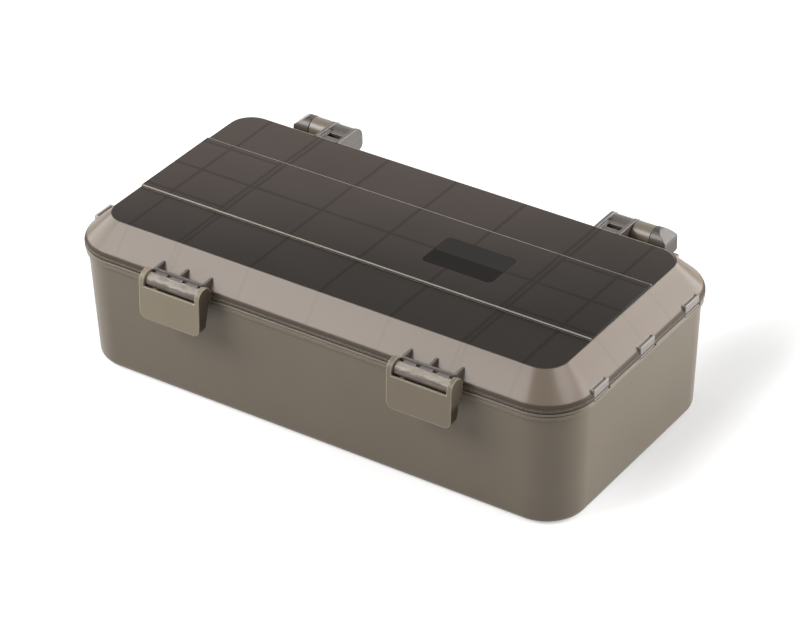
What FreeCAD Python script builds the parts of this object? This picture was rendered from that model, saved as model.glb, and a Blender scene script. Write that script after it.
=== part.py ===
"""Small tackle box: a drafted tub, a hinged lid with two snap latches, three trays and dividers.

Origin at the middle of the tub's underside, +X along the length, -Y towards the latches, +Z up.
"""
import FreeCAD, Part
import math
import os

import Sketcher
from FreeCAD import Placement, Rotation, Vector

os.makedirs("parts", exist_ok=True)
doc = FreeCAD.newDocument("TackleBox")

# ---------------------------------------------------------------------------------------------
# Driving sizes, in millimetres. A value that starts with "=" is worked out from the ones above it.
# ---------------------------------------------------------------------------------------------
SIZES = {
    # rim, the widest outline of the closed box
    "rim_length": 290,
    "rim_depth": 147,
    "rim_radius": 25.5,
    # tub
    "tub_height": 65.4,
    "draft_slope": 0.041,
    "flange_overhang": 1.7,
    "flange_bottom": "=tub_height - 3.8",
    "band_top": "=tub_height - 1.8",
    "band_inset": 0.4,
    "groove_inset": 0.9,
    "ridge_bottom": "=tub_height - 1.3",
    "tub_wall": 2.4,
    "tub_floor": 2.6,
    "base_fillet": 4.4,
    "floor_fillet": 2.6,
    "base_inset": "=flange_overhang + draft_slope * flange_bottom",
    "cavity_base_inset": "=base_inset + tub_wall",
    "cavity_rim_inset": "=flange_overhang + tub_wall",
    # lid shell
    "lid_gap": 0.5,
    "lid_bottom": "=tub_height + lid_gap",
    "chamfer_foot": "=lid_bottom + 2.4",
    "lid_height": 81.7,
    "top_inset_x": 14.5,
    "top_inset_y": 13.4,
    "top_radius": 13.5,
    "shoulder_fillet": 5,
    "lid_wall": 2.2,
    "cavity_inset": 3.5,
    "cavity_foot": "=chamfer_foot + 0.3",
    "cavity_top": "=lid_height - lid_wall",
    "cavity_top_inset_x": "=top_inset_x + 0.9",
    "cavity_top_inset_y": "=top_inset_y + 0.9",
    "rib_depth": 2,
    "rib_width": 1.3,
    "core_inset": "=cavity_inset + 2.3",
    "core_foot": "=cavity_foot - 0.6",
    "core_top": "=cavity_top - rib_depth",
    "core_top_inset_x": "=cavity_top_inset_x + 0.9",
    "core_top_inset_y": "=cavity_top_inset_y + 0.9",
    "band_half_width": 27.8,
    "band_rise": 1.2,
    "band_fillet": 0.5,
    "lid_crest": "=lid_height + band_rise",
    # skirt that drops inside the tub and centres the closed lid
    "skirt_clearance": 0.9,
    "skirt_wall": 1.6,
    "skirt_bottom": "=lid_bottom - 3",
    "skirt_shelf": 1.5,
    "skirt_inset": "=cavity_rim_inset + skirt_clearance",
    "skirt_inner_inset": "=skirt_inset + skirt_wall",
    # hinges
    "axis_back": "=rim_depth / 2 + 1.9",
    "axis_height": "=lid_height - ear_radius",
    "knuckle_radius": 6,
    "ear_radius": 6.25,
    "ear_back": "=axis_back + ear_radius",
    "ear_top": "=axis_height + ear_radius",
    "ear_bottom": "=axis_height - 6.9",
    "ear_root": "=rim_depth / 2 - 1.9",
    "ear_front": "=rim_depth / 2 - 14.9",
    "ear_front_foot": "=lid_height - 0.8",
    "ear_heel": 3,
    "ear_rib": 2,
    "ear_slope": 4.2,
    "ear_face": "=axis_back - ear_radius",
    "ear_face_foot": "=ear_bottom + 2.5",
    "web_height": "=axis_height + 2.6",
    "web_thickness": 1.8,
    "slot_depth": 3.4,
    "slot_margin": 3.2,
    "side_gap": 0.35,
    "inner_ear": 14.9,
    "outer_ear": 9,
    "ear_flat": 3,
    "knuckle_width": 10.2,
    "hinge_left": "=52.7 - rim_length / 2",
    "hinge_right": "=rim_length / 2 - 45.7",
    "bracket_overlap": 1.2,
    "bracket_top": "=axis_height - 9.2",
    "bracket_front": "=rim_depth / 2 - 3.1",
    "bracket_back": "=ear_back - 0.25",
    "bracket_bottom": "=bracket_top - 16.2",
    "bracket_heel": "=bracket_top - 5.7",
    "bracket_heel_front": "=bracket_front + 1.6",
    "stem_front": "=rim_depth / 2 + 0.6",
    "pin_radius": 1.5,
    "pin_running": 0.05,
    "pin_end_cover": 1.5,
    # latches
    "latch_x": "=rim_length / 2 - 73",
    "latch_width": 36,
    "latch_arm": 2.7,
    "pivot_front": "=-5.6 - rim_depth / 2",
    "pivot_height": "=lid_bottom + 3.6",
    "latch_head": 5.1,
    "head_front": "=pivot_front - latch_head",
    "head_back": "=pivot_front + latch_head",
    "head_top": "=pivot_height + latch_head",
    "latch_foot": "=pivot_height - 19.6",
    "latch_foot_front": "=pivot_front - 6",
    "latch_foot_back": "=pivot_front - 1.3",
    "latch_waist": "=pivot_height - 5.1",
    "latch_waist_back": "=pivot_front + 2.3",
    "latch_corner": 4,
    "latch_skin": 2,
    "latch_window": "=pivot_height - 1.8",
    "latch_inner": "=latch_foot_front + latch_skin",
    "latch_inner_foot": "=latch_foot + latch_skin",
    "hook_bottom": "=pivot_height - 13.9",
    "hook_top": "=hook_bottom + 2.5",
    "snap_clearance": 0.2,
    "keeper_front": "=pivot_front + 1.9",
    "keeper_root": "=2.5 - rim_depth / 2",
    "keeper_bottom": "=hook_top + 0.5",
    "keeper_top": "=keeper_bottom + 3.8",
    "keeper_half": "=latch_width / 2 - 4.4",
    "stub_radius": 1.2,
    "stub_length": 2.4,
    # latch bracket on the lid
    "roll_radius": 3.5,
    "roll_end_gap": 0.3,
    "plate_back": "=pivot_front + 4.3",
    "plate_thickness": 1.3,
    "plate_front": "=plate_back - plate_thickness",
    "plate_top": "=pivot_height + 4.5",
    "plate_bottom": "=pivot_height - 2.5",
    "plate_half": "=latch_width / 2 - 3.6",
    "shelf_root": "=1.6 - rim_depth / 2",
    "shelf_thickness": 1.6,
    "gusset_root": "=6.3 - rim_depth / 2",
    "gusset_pitch": "=latch_width / 2 - 3.7",
    "gusset_thickness": 1.4,
    "gusset_foot": "=1.9 - rim_depth / 2",
    "tab_width": 6.6,
    "tab_pitch": 9.2,
    "tab_thickness": 2,
    "tab_bottom": "=pivot_height + 1.7",
    # end clips
    "clip_width": 13,
    "clip_pitch": "=2 * rim_depth / 7",
    "clip_top": "=lid_bottom + 5",
    "clip_low_top": "=lid_bottom + 1.9",
    "clip_depth": 3.2,
    "clip_wall": 1.2,
    "clip_slot_width": 1.3,
    "clip_slot_depth": 2.2,
    "clip_slot_margin": 0.8,
    "clip_tongue": 1.5,
    "clip_engage": 0.6,
    "clip_clearance": 0.4,
    "clip_notch": 1.4,
    # blank label plate
    "label_x": "=tray_split - 36.2",
    "label_length": 39.6,
    "label_depth": 24.6,
    "label_thickness": 0.7,
    "label_recess": 0.6,
    "label_clearance": 0.15,
    "label_radius": 3,
    # trays and dividers
    "tray_split": "=rim_length / 2 - 63",
    "tray_gap": 1.4,
    "tray_inset": 7.4,
    "tray_wall": 2,
    "tray_floor": 1.6,
    "tray_height": "=tub_height - tub_floor - 6.4",
    "tray_radius": 2.5,
    "tray_mid": "=tray_split - tray_gap / 2",
    "tray_side": "=rim_length / 2 - tray_inset",
    "tray_back": "=rim_depth / 2 - tray_inset",
    "tray_end_radius": "=rim_radius - tray_inset",
    "tray_top": "=tub_floor + tray_height",
    "tray_base": "=tub_floor + tray_floor",
    "lift_radius": 8,
    "lane_x": "=tray_split + 31.5",
    "cell_x": "=tray_split / 2 - 0.5",
    "cell_y": 24,
    "groove_depth": 0.7,
    "groove_clearance": 0.15,
    "divider_thickness": 1.2,
    "divider_height": "=tray_height - 6.4",
    "divider_grip": 7,
    "divider_top": "=tray_base + divider_height",
}

sheet = doc.addObject("Spreadsheet::Sheet", "Sizes")
for row, (alias, value) in enumerate(SIZES.items(), start=1):
    sheet.set(f"A{row}", alias)
    sheet.set(f"B{row}", str(value))
    sheet.setAlias(f"B{row}", alias)
work = doc.addObject("Spreadsheet::Sheet", "Work")
doc.recompute()


def size(alias):
    """Current value of a named size."""
    return float(sheet.get(alias))


def measure(formula):
    """Current value of a formula over size names, worked out in a sheet of its own."""
    work.set("A1", "=" + bound(formula))
    work.recompute()
    return float(work.get("A1"))


def bound(text):
    """Turn a formula over size names into an expression over the sheet's cells."""
    words = []
    for word in text.replace("(", " ( ").replace(")", " ) ").split():
        name = word.lstrip("-")
        words.append(word.replace(name, f"Sizes.{name}") if name in SIZES else word)
    return " ".join(words)


def origin_plane(body, role):
    """One of the body's own origin planes."""
    return next(item for item in body.Origin.OriginFeatures if item.Role == role)


def new_body(name):
    """Empty PartDesign body."""
    return doc.addObject("PartDesign::Body", name)


def plane_sketch(body, name, role, offset):
    """Sketch parallel to an origin plane, moved along that plane's normal."""
    sketch = body.newObject("Sketcher::SketchObject", name)
    sketch.AttachmentSupport = (origin_plane(body, role), [""])
    sketch.MapMode = "FlatFace"
    sketch.setExpression(".AttachmentOffset.Base.z", bound(offset))
    doc.recompute()
    return sketch


def rounded_outline(body, name, height, length, depth, radius):
    """Rounded rectangle centred on the origin, lying flat at the given height."""
    sketch = plane_sketch(body, name, "XY_Plane", height)
    corner = 10.0
    half_x, half_y = 100.0, 60.0
    centres = [(half_x, half_y), (-half_x, half_y), (-half_x, -half_y), (half_x, -half_y)]
    for quarter, (centre_x, centre_y) in enumerate(centres):
        circle = Part.Circle(Vector(centre_x, centre_y, 0), Vector(0, 0, 1), corner)
        start = quarter * math.pi / 2
        sketch.addGeometry(Part.ArcOfCircle(circle, start, start + math.pi / 2), False)
    reach_x, reach_y = half_x + corner, half_y + corner
    sides = [((half_x, reach_y), (-half_x, reach_y)), ((-reach_x, half_y), (-reach_x, -half_y)),
             ((-half_x, -reach_y), (half_x, -reach_y)), ((reach_x, -half_y), (reach_x, half_y))]
    for start, end in sides:
        sketch.addGeometry(Part.LineSegment(Vector(*start, 0), Vector(*end, 0)), False)
    for quarter in range(4):
        side = 4 + quarter
        sketch.addConstraint(Sketcher.Constraint("Tangent", quarter, 2, side, 1))
        sketch.addConstraint(Sketcher.Constraint("Tangent", side, 2, (quarter + 1) % 4, 1))
    for side, kind in ((4, "Horizontal"), (5, "Vertical"), (6, "Horizontal"), (7, "Vertical")):
        sketch.addConstraint(Sketcher.Constraint(kind, side))
    for quarter in range(1, 4):
        sketch.addConstraint(Sketcher.Constraint("Equal", 0, quarter))
    sketch.addConstraint(Sketcher.Constraint("Symmetric", 0, 3, 2, 3, -1, 1))
    rules = [("DistanceX", (5, 1, 7, 2), length, 2 * reach_x),
             ("DistanceY", (6, 1, 4, 1), depth, 2 * reach_y), ("Radius", (0,), radius, corner)]
    for kind, target, formula, start_value in rules:
        index = sketch.addConstraint(Sketcher.Constraint(kind, *target, start_value))
        sketch.setExpression(f"Constraints[{index}]", bound(formula))
    doc.recompute()
    return sketch


def rim_outline(body, name, height, inset_x, inset_y="", radius=""):
    """The rim's outline, drawn in from its edge by the given insets."""
    inset_y = inset_y or inset_x
    return rounded_outline(body, name, height, f"rim_length - 2 * ( {inset_x} )",
                           f"rim_depth - 2 * ( {inset_y} )", radius or f"rim_radius - ( {inset_x} )")


def pad(body, name, sketch, length, kind="PartDesign::Pad"):
    """Pad, or pocket, a sketch along its normal."""
    feature = body.newObject(kind, name)
    feature.Profile = sketch
    feature.setExpression("Length", bound(length))
    sketch.Visibility = False
    doc.recompute()
    return feature


def loft(body, name, lower, upper, kind="PartDesign::AdditiveLoft"):
    """Straight-sided loft between two outlines."""
    feature = body.newObject(kind, name)
    feature.Profile = lower
    feature.Sections = [upper]
    feature.Ruled = True
    doc.recompute()
    return feature


def edges_where(shape, test):
    """Names of the edges that pass a test."""
    return [f"Edge{number}" for number, edge in enumerate(shape.Edges, start=1) if test(edge)]


def spans(edge, axis):
    """True for an edge that runs along one axis only."""
    box = edge.BoundBox
    lengths = {"x": box.XLength, "y": box.YLength, "z": box.ZLength}
    others = [value for key, value in lengths.items() if key != axis]
    return lengths[axis] > 0.5 and max(others) < 1e-4


def level(edge, height):
    """True for an edge that lies flat at the given height."""
    box = edge.BoundBox
    return box.ZLength < 1e-4 and abs(box.ZMin - height) < 1e-3


def round_edges(body, name, radius, test):
    """Fillet the edges of the body's tip that pass a test."""
    base = body.Tip
    fillet = body.newObject("PartDesign::Fillet", name)
    fillet.Base = (base, edges_where(base.Shape, test))
    fillet.setExpression("Radius", bound(radius))
    doc.recompute()
    return fillet


def prism(name, role, corners, start, length):
    """Body with a closed polygon for its profile, padded along the normal of an origin plane.

    Each corner is a pair of formulas: along Y and Z for YZ_Plane, along X and Z for XZ_Plane.
    """
    body = new_body(name)
    sketch = plane_sketch(body, name + "Profile", role, start)
    points = [Vector(measure(across), measure(up), 0) for across, up in corners]
    count = len(points)
    for number, point in enumerate(points):
        sketch.addGeometry(Part.LineSegment(point, points[(number + 1) % count]), False)
    for number in range(count):
        sketch.addConstraint(Sketcher.Constraint("Coincident", number, 2, (number + 1) % count, 1))
    for number, (formulas, point) in enumerate(zip(corners, points)):
        for kind, formula, value in zip(("DistanceX", "DistanceY"), formulas, (point.x, point.y)):
            index = sketch.addConstraint(Sketcher.Constraint(kind, -1, 1, number, 1, value))
            sketch.setExpression(f"Constraints[{index}]", bound(formula))
    pad(body, name + "Pad", sketch, length)
    return body


def side_prism(name, corners, start, length):
    """Prism whose profile lies in the YZ plane and runs along X."""
    return prism(name, "YZ_Plane", corners, start, length)


def place(item, x, y, z):
    """Bind an object's position to formulas."""
    for axis, formula in zip("xyz", (x, y, z)):
        item.setExpression(f".Placement.Base.{axis}", bound(formula))


def block(name, low, high):
    """Part::Box between two corners given as formulas."""
    box = doc.addObject("Part::Box", name)
    place(box, *low)
    for prop, start, end in zip(("Length", "Width", "Height"), low, high):
        box.setExpression(prop, bound(f"( {end} ) - ( {start} )"))
    return box


def plate(name, low, high, radius):
    """Block whose upright edges are rounded by a formula."""
    box = block(name + "Sharp", low, high)
    doc.recompute()
    rounded = doc.addObject("Part::Fillet", name)
    rounded.Base = box
    rounded.Edges = [(number, measure(radius), measure(radius))
                     for number, edge in enumerate(box.Shape.Edges, start=1) if spans(edge, "z")]
    return rounded


def rod(name, start, length, radius, y, z):
    """Part::Cylinder that lies along X."""
    return turned_rod(name, Rotation(Vector(0, 1, 0), 90), (start, y, z), length, radius)


def turned_rod(name, turn, start, length, radius):
    """Part::Cylinder turned from upright, with its first end at the start point."""
    cylinder = doc.addObject("Part::Cylinder", name)
    cylinder.Placement = Placement(Vector(), turn)
    place(cylinder, *start)
    cylinder.setExpression("Height", bound(length))
    cylinder.setExpression("Radius", bound(radius))
    return cylinder


def fuse(name, items):
    """Union of several solids."""
    union = doc.addObject("Part::MultiFuse", name)
    union.Shapes = items
    union.Refine = True
    doc.recompute()
    return union


def cut(name, base, tools):
    """Base with one or more tools taken away."""
    tool = tools[0] if len(tools) == 1 else fuse(name + "Tools", tools)
    difference = doc.addObject("Part::Cut", name)
    difference.Base = base
    difference.Tool = tool
    difference.Refine = True
    doc.recompute()
    return difference


def common(name, base, tool):
    """Overlap of two solids."""
    overlap = doc.addObject("Part::Common", name)
    overlap.Base = base
    overlap.Tool = tool
    doc.recompute()
    return overlap


def signed(side, formula):
    """A formula, negated on the left-hand side."""
    return formula if side > 0 else f"-1 * ( {formula} )"


def ordered(side, near, far):
    """Lower and upper end of a stretch that runs away from the middle on one side."""
    ends = (signed(side, near), signed(side, far))
    return ends if side > 0 else ends[::-1]


finished = []


def deliver(item, label):
    """Name a finished piece and list it for export."""
    item.Label = label
    finished.append(item)


SIDES = {"left": -1, "right": 1}

# ---------------------------------------------------------------------------------------------
# Hinges: stretches along X of the ears, knuckle and bracket, measured from the knuckle's middle
# ---------------------------------------------------------------------------------------------


def hinge_stretch(side, near, far):
    """X range of a hinge part, from distances outboard of the knuckle's middle."""
    word = "right" if side > 0 else "left"
    low, high = ordered(side, near, far)
    return f"hinge_{word} + ( {low} )", f"hinge_{word} + ( {high} )"


KNUCKLE_HALF = "knuckle_width / 2"
INNER_EAR_NEAR = "-1 * ( knuckle_width / 2 + side_gap + inner_ear )"
INNER_EAR_FAR = "-1 * ( knuckle_width / 2 + side_gap )"
OUTER_EAR_NEAR = "knuckle_width / 2 + side_gap"
OUTER_EAR_FAR = "knuckle_width / 2 + side_gap + outer_ear"

# ---------------------------------------------------------------------------------------------
# Tub
# ---------------------------------------------------------------------------------------------
tub = new_body("TubShell")
loft(tub, "TubWalls", rim_outline(tub, "TubBase", "0", "base_inset"),
     rim_outline(tub, "TubNeck", "flange_bottom", "flange_overhang"))
round_edges(tub, "TubBaseFillet", "base_fillet", lambda edge: level(edge, 0))
for name, low, high, inset in (("RimCore", "flange_bottom", "tub_height", "groove_inset"),
                               ("RimBand", "flange_bottom", "band_top", "band_inset"),
                               ("RimRidge", "ridge_bottom", "tub_height", "0")):
    pad(tub, name, rim_outline(tub, name + "Outline", low, inset), f"{high} - {low}")
loft(tub, "TubCavity", rim_outline(tub, "TubFloor", "tub_floor", "cavity_base_inset"),
     rim_outline(tub, "TubMouth", "tub_height", "cavity_rim_inset"), "PartDesign::SubtractiveLoft")
round_edges(tub, "TubFloorFillet", "floor_fillet", lambda edge: level(edge, size("tub_floor")))

BRACKET = [("bracket_front", "bracket_bottom"), ("bracket_heel_front", "bracket_bottom"),
           ("bracket_back", "bracket_heel"), ("bracket_back", "bracket_top"),
           ("stem_front", "bracket_top"), ("stem_front", "tub_height"),
           ("bracket_front", "tub_height")]
STEM = [("stem_front", "bracket_heel"), ("bracket_back", "bracket_heel"),
        ("bracket_back", "axis_height"), ("stem_front", "axis_height")]

tub_parts = [tub]
tub_tools = []
for word, side in SIDES.items():
    name = word.capitalize()
    low, high = hinge_stretch(side, f"{INNER_EAR_NEAR} - bracket_overlap",
                              f"{OUTER_EAR_FAR} + bracket_overlap")
    tub_parts.append(side_prism(f"Bracket{name}", BRACKET, low, f"( {high} ) - ( {low} )"))
    low, high = hinge_stretch(side, f"-1 * ( {KNUCKLE_HALF} )", KNUCKLE_HALF)
    tub_parts.append(side_prism(f"Stem{name}", STEM, low, "knuckle_width"))
    tub_parts.append(rod(f"Knuckle{name}", low, "knuckle_width", "knuckle_radius",
                         "axis_back", "axis_height"))
    tub_tools.append(rod(f"KnuckleBore{name}", f"{low} - 1", "knuckle_width + 2",
                         "pin_radius + pin_running", "axis_back", "axis_height"))
    latch_middle = signed(side, "latch_x")
    tub_parts.append(block(f"Keeper{name}",
                           (f"{latch_middle} - keeper_half", "keeper_front", "keeper_bottom"),
                           (f"{latch_middle} + keeper_half", "keeper_root", "keeper_top")))
    for step in (-1, 0, 1):
        middle = f"{step} * clip_pitch"
        low, high = ordered(side, "rim_length / 2 - clip_tongue - clip_clearance",
                            "rim_length / 2 + 1")
        tub_tools.append(block(f"ClipNotch{name}{step + 2}",
                               (low, f"{middle} - clip_width / 2 - clip_clearance",
                                "tub_height - clip_engage - clip_clearance"),
                               (high, f"{middle} + clip_width / 2 + clip_notch", "tub_height + 1")))
tub_whole = fuse("TubWhole", tub_parts)
deliver(cut("Tub", tub_whole, tub_tools), "tub")

# ---------------------------------------------------------------------------------------------
# Lid
# ---------------------------------------------------------------------------------------------
lid = new_body("LidShell")
pad(lid, "LidRim", rim_outline(lid, "LidRimOutline", "lid_bottom", "0"),
    "chamfer_foot - lid_bottom")
loft(lid, "LidChamfer", rim_outline(lid, "LidFootOutline", "chamfer_foot", "0"),
     rim_outline(lid, "LidTopOutline", "lid_height", "top_inset_x", "top_inset_y", "top_radius"))
round_edges(lid, "LidShoulder", "shoulder_fillet", lambda edge: level(edge, size("chamfer_foot")))

cavity = new_body("LidCavity")
pad(cavity, "LidCavityBase",
    rim_outline(cavity, "LidCavityMouth", "lid_bottom - 1", "cavity_inset"),
    "cavity_foot - lid_bottom + 1")
loft(cavity, "LidCavityDome", rim_outline(cavity, "LidCavityFoot", "cavity_foot", "cavity_inset"),
     rim_outline(cavity, "LidCavityTop", "cavity_top", "cavity_top_inset_x", "cavity_top_inset_y",
                 "top_radius - 0.9"))

core = new_body("RibCore")
pad(core, "RibCoreBase", rim_outline(core, "RibCoreMouth", "lid_bottom - 2", "core_inset"),
    "core_foot - lid_bottom + 2")
loft(core, "RibCoreDome", rim_outline(core, "RibCoreFoot", "core_foot", "core_inset"),
     rim_outline(core, "RibCoreTop", "core_top", "core_top_inset_x", "core_top_inset_y",
                 "top_radius - 1.8"))

CROSS_RIBS = ["-1 * lane_x", "-1 * ( tray_split + 1.5 )", "-1 * ( tray_split - 1.5 )",
              "-1 * cell_x", "0", "cell_x", "tray_split - 1.5", "tray_split + 1.5", "lane_x"]
slabs = []
for number, middle in enumerate(CROSS_RIBS):
    slabs.append(block(f"CrossRib{number}",
                       (f"{middle} - rib_width / 2", "-1 * rim_depth / 2", "lid_bottom"),
                       (f"{middle} + rib_width / 2", "rim_depth / 2", "lid_height")))
slabs.append(block("LongRib", ("-1 * rim_length / 2", "-1 * rib_width / 2", "lid_bottom"),
                   ("rim_length / 2", "rib_width / 2", "lid_height")))
for word, side in SIDES.items():
    low, high = ordered(side, "tray_split", "rim_length / 2")
    for row in (-1, 1):
        middle = f"{row} * cell_y"
        slabs.append(block(f"EndRib{word.capitalize()}{row + 1}",
                           (low, f"{middle} - rib_width / 2", "lid_bottom"),
                           (high, f"{middle} + rib_width / 2", "lid_height")))
rib_block = common("RibBlock", fuse("RibSlabs", slabs), cavity)
ribs = cut("Ribs", rib_block, [core])

skirt = new_body("LidSkirt")
pad(skirt, "SkirtShelf",
    rim_outline(skirt, "SkirtShelfOutline", "lid_bottom", "cavity_inset - 0.5"), "skirt_shelf")
pad(skirt, "SkirtWall", rim_outline(skirt, "SkirtWallOutline", "skirt_bottom", "skirt_inset"),
    "lid_bottom - skirt_bottom")
pocket = pad(skirt, "SkirtHollow",
             rim_outline(skirt, "SkirtHollowOutline", "skirt_bottom", "skirt_inner_inset"),
             "lid_bottom + skirt_shelf - skirt_bottom + 1", "PartDesign::Pocket")
pocket.Reversed = True
doc.recompute()

band = block("CentreBand",
             ("top_inset_x - rim_length / 2", "-1 * band_half_width", "lid_height - 1"),
             ("rim_length / 2 - top_inset_x", "band_half_width", "lid_crest"))
doc.recompute()
band_rounded = doc.addObject("Part::Fillet", "CentreBandRounded")
band_rounded.Base = band
band_rounded.Edges = [(number, size("band_fillet"), size("band_fillet"))
                      for number, edge in enumerate(band.Shape.Edges, start=1)
                      if level(edge, size("lid_crest"))]

EAR = [("ear_front", "ear_top"), ("ear_back", "ear_top"), ("ear_back", "ear_bottom"),
       ("ear_root", "ear_bottom"), ("ear_front", "ear_front_foot")]
EAR_END = [("ear_face", "ear_top"), ("ear_back", "ear_top"), ("ear_back", "ear_bottom"),
           ("ear_root", "ear_bottom"), ("ear_face", "ear_face_foot")]
GUSSET = [("gusset_root", "plate_top"), ("plate_front", "plate_top"),
          ("plate_front", "plate_bottom"), ("gusset_foot", "plate_bottom")]


def ear_prism(name, profile, low, length, crown_from):
    """Plate with an ear's side profile, its top edges behind crown_from and its heel rounded."""
    body = side_prism(name, profile, low, length)
    for suffix, radius, height, start in (("Round", "ear_radius - 0.01", "ear_top", crown_from),
                                          ("Heel", "ear_heel", "ear_bottom", "axis_back")):
        round_edges(body, name + suffix, radius,
                    lambda edge: spans(edge, "x") and level(edge, size(height))
                    and edge.BoundBox.YMin > size(start))
    return body


def ear_rib(name, low):
    """Rib of the inner ear: flush with the lid's top, rounded about the hinge axis."""
    return ear_prism(name, EAR, low, "ear_rib", "axis_back")


def hinge_ears(word, side):
    """Both ears of one hinge: a wide hollow one inboard, a round one with a sloping end outboard."""
    name = word.capitalize()
    near, far = hinge_stretch(side, INNER_EAR_NEAR, INNER_EAR_FAR)
    parts = [ear_rib(f"EarRibA{name}", near), ear_rib(f"EarRibB{name}", f"{far} - ear_rib"),
             rod(f"EarBarrel{name}", near, "inner_ear", "ear_radius", "axis_back", "axis_height")]
    web = block(f"EarWeb{name}", (near, "ear_front + 3", "web_height"),
                (far, "axis_back", "web_height + web_thickness"))
    slot = block(f"EarSlot{name}",
                 (f"{near} + slot_margin", "axis_back - ear_radius - slot_depth", "web_height - 1"),
                 (f"{far} - slot_margin", "axis_back - ear_radius", "web_height + web_thickness + 1"))
    parts.append(cut(f"EarFloor{name}", web, [slot]))
    low, high = hinge_stretch(side, OUTER_EAR_NEAR, OUTER_EAR_FAR)
    ear = ear_prism(f"EarBlock{name}", EAR_END, low, "outer_ear", "ear_front")
    low, high = hinge_stretch(side, f"{OUTER_EAR_NEAR} + ear_flat", OUTER_EAR_FAR)
    inner, outer = (low, high) if side > 0 else (high, low)
    slope = prism(f"EarSlope{name}", "XZ_Plane",
                  [(inner, "ear_top"), (outer, "ear_top - ear_slope"), (outer, "ear_top + 1"),
                   (inner, "ear_top + 1")], "-1 * ear_back - 1", "ear_back - ear_face + 2")
    parts.append(cut(f"EarEnd{name}", ear, [slope]))
    return parts


def latch_bracket(word, side):
    """Roll that a latch turns on, the plate behind it, its tabs, shelf and gussets."""
    name = word.capitalize()
    middle = signed(side, "latch_x")
    reach = "latch_width / 2 - latch_arm - roll_end_gap"
    parts = [rod(f"Roll{name}", f"{middle} - ( {reach} )", f"2 * ( {reach} )", "roll_radius",
                 "pivot_front", "pivot_height"),
             block(f"Plate{name}", (f"{middle} - plate_half", "plate_front", "plate_bottom"),
                   (f"{middle} + plate_half", "plate_back", "plate_top")),
             block(f"Shelf{name}", (f"{middle} - plate_half", "plate_front", "plate_bottom"),
                   (f"{middle} + plate_half", "shelf_root", "plate_bottom + shelf_thickness"))]
    for step in (-1, 0, 1):
        start = f"{middle} + {step} * gusset_pitch - gusset_thickness / 2"
        parts.append(side_prism(f"Gusset{name}{step + 2}", GUSSET, start, "gusset_thickness"))
        tab_middle = f"{middle} + {step} * tab_pitch"
        parts.append(block(f"Tab{name}{step + 2}",
                           (f"{tab_middle} - tab_width / 2", "pivot_front", "tab_bottom"),
                           (f"{tab_middle} + tab_width / 2", "plate_back", "tab_bottom + tab_thickness")))
    return parts


def end_clips(word, side):
    """Three clips on one end of the lid, and the slots behind the tall ones.

    Those on the right end and the front one on the left stand up above the rim.
    """
    parts = []
    tools = []
    for step in (-1, 0, 1):
        name = f"{word.capitalize()}{step + 2}"
        middle = f"{step} * clip_pitch"
        tall = side > 0 or step < 0
        low, high = ordered(side, "rim_length / 2 - clip_depth", "rim_length / 2")
        parts.append(block(f"Clip{name}", (low, f"{middle} - clip_width / 2", "lid_bottom"),
                           (high, f"{middle} + clip_width / 2", "clip_top" if tall else "clip_low_top")))
        low, high = ordered(side, "rim_length / 2 - clip_tongue", "rim_length / 2")
        parts.append(block(f"ClipTongue{name}",
                           (low, f"{middle} - clip_width / 2", "tub_height - clip_engage"),
                           (high, f"{middle} + clip_width / 2", "lid_bottom + 1")))
        if tall:
            low, high = ordered(side, "rim_length / 2 - clip_wall - clip_slot_width",
                                "rim_length / 2 - clip_wall")
            reach = "clip_width / 2 - clip_slot_margin"
            tools.append(block(f"ClipSlot{name}",
                               (low, f"{middle} - ( {reach} )", "clip_top - clip_slot_depth"),
                               (high, f"{middle} + {reach}", "lid_height")))
    return parts, tools


lid_parts = [lid, band_rounded]
inside_parts = [ribs, skirt]
lid_tools = []
for word, side in SIDES.items():
    name = word.capitalize()
    lid_parts += hinge_ears(word, side) + latch_bracket(word, side)
    clips, slots = end_clips(word, side)
    lid_parts += clips
    lid_tools += slots
    near, far = hinge_stretch(side, f"{INNER_EAR_NEAR} + pin_end_cover",
                              f"{OUTER_EAR_FAR} - pin_end_cover")
    lid_tools.append(rod(f"PinBore{name}", near, f"( {far} ) - ( {near} )", "pin_radius",
                         "axis_back", "axis_height"))
    middle = signed(side, "latch_x")
    reach = "latch_width / 2 - latch_arm + 1"
    lid_tools.append(rod(f"RollBore{name}", f"{middle} - ( {reach} )", f"2 * ( {reach} )",
                         "stub_radius + pin_running", "pivot_front", "pivot_height"))
    deliver(rod(f"HingePin{name}", near, f"( {far} ) - ( {near} )", "pin_radius",
                "axis_back", "axis_height"), f"hinge_pin_{word}")
hollow_lid = cut("HollowLid", fuse("LidOuter", lid_parts), [cavity])
reach_x, reach_y = "label_length / 2 + label_clearance", "label_depth / 2 + label_clearance"
lid_tools.append(plate("LabelRecess",
                       (f"label_x - ( {reach_x} )", f"-1 * ( {reach_y} )", "lid_crest - label_recess"),
                       (f"label_x + {reach_x}", reach_y, "lid_crest + 1"), "label_radius"))
deliver(cut("Lid", fuse("LidWithRibs", [hollow_lid] + inside_parts), lid_tools), "lid")

# Blank label plate, set into the centre band
deliver(plate("LabelPlate",
              ("label_x - label_length / 2", "-1 * label_depth / 2", "lid_crest - label_recess"),
              ("label_x + label_length / 2", "label_depth / 2",
               "lid_crest - label_recess + label_thickness"), "label_radius - label_clearance"),
        "label_plate")

# ---------------------------------------------------------------------------------------------
# Snap latches
# ---------------------------------------------------------------------------------------------
LATCH = [("latch_foot_front", "latch_foot"), ("head_front", "pivot_height"), ("head_front", "head_top"),
         ("head_back", "head_top"), ("head_back", "pivot_height - 3"),
         ("latch_waist_back", "latch_waist - 3"), ("latch_foot_back", "latch_foot")]

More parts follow.
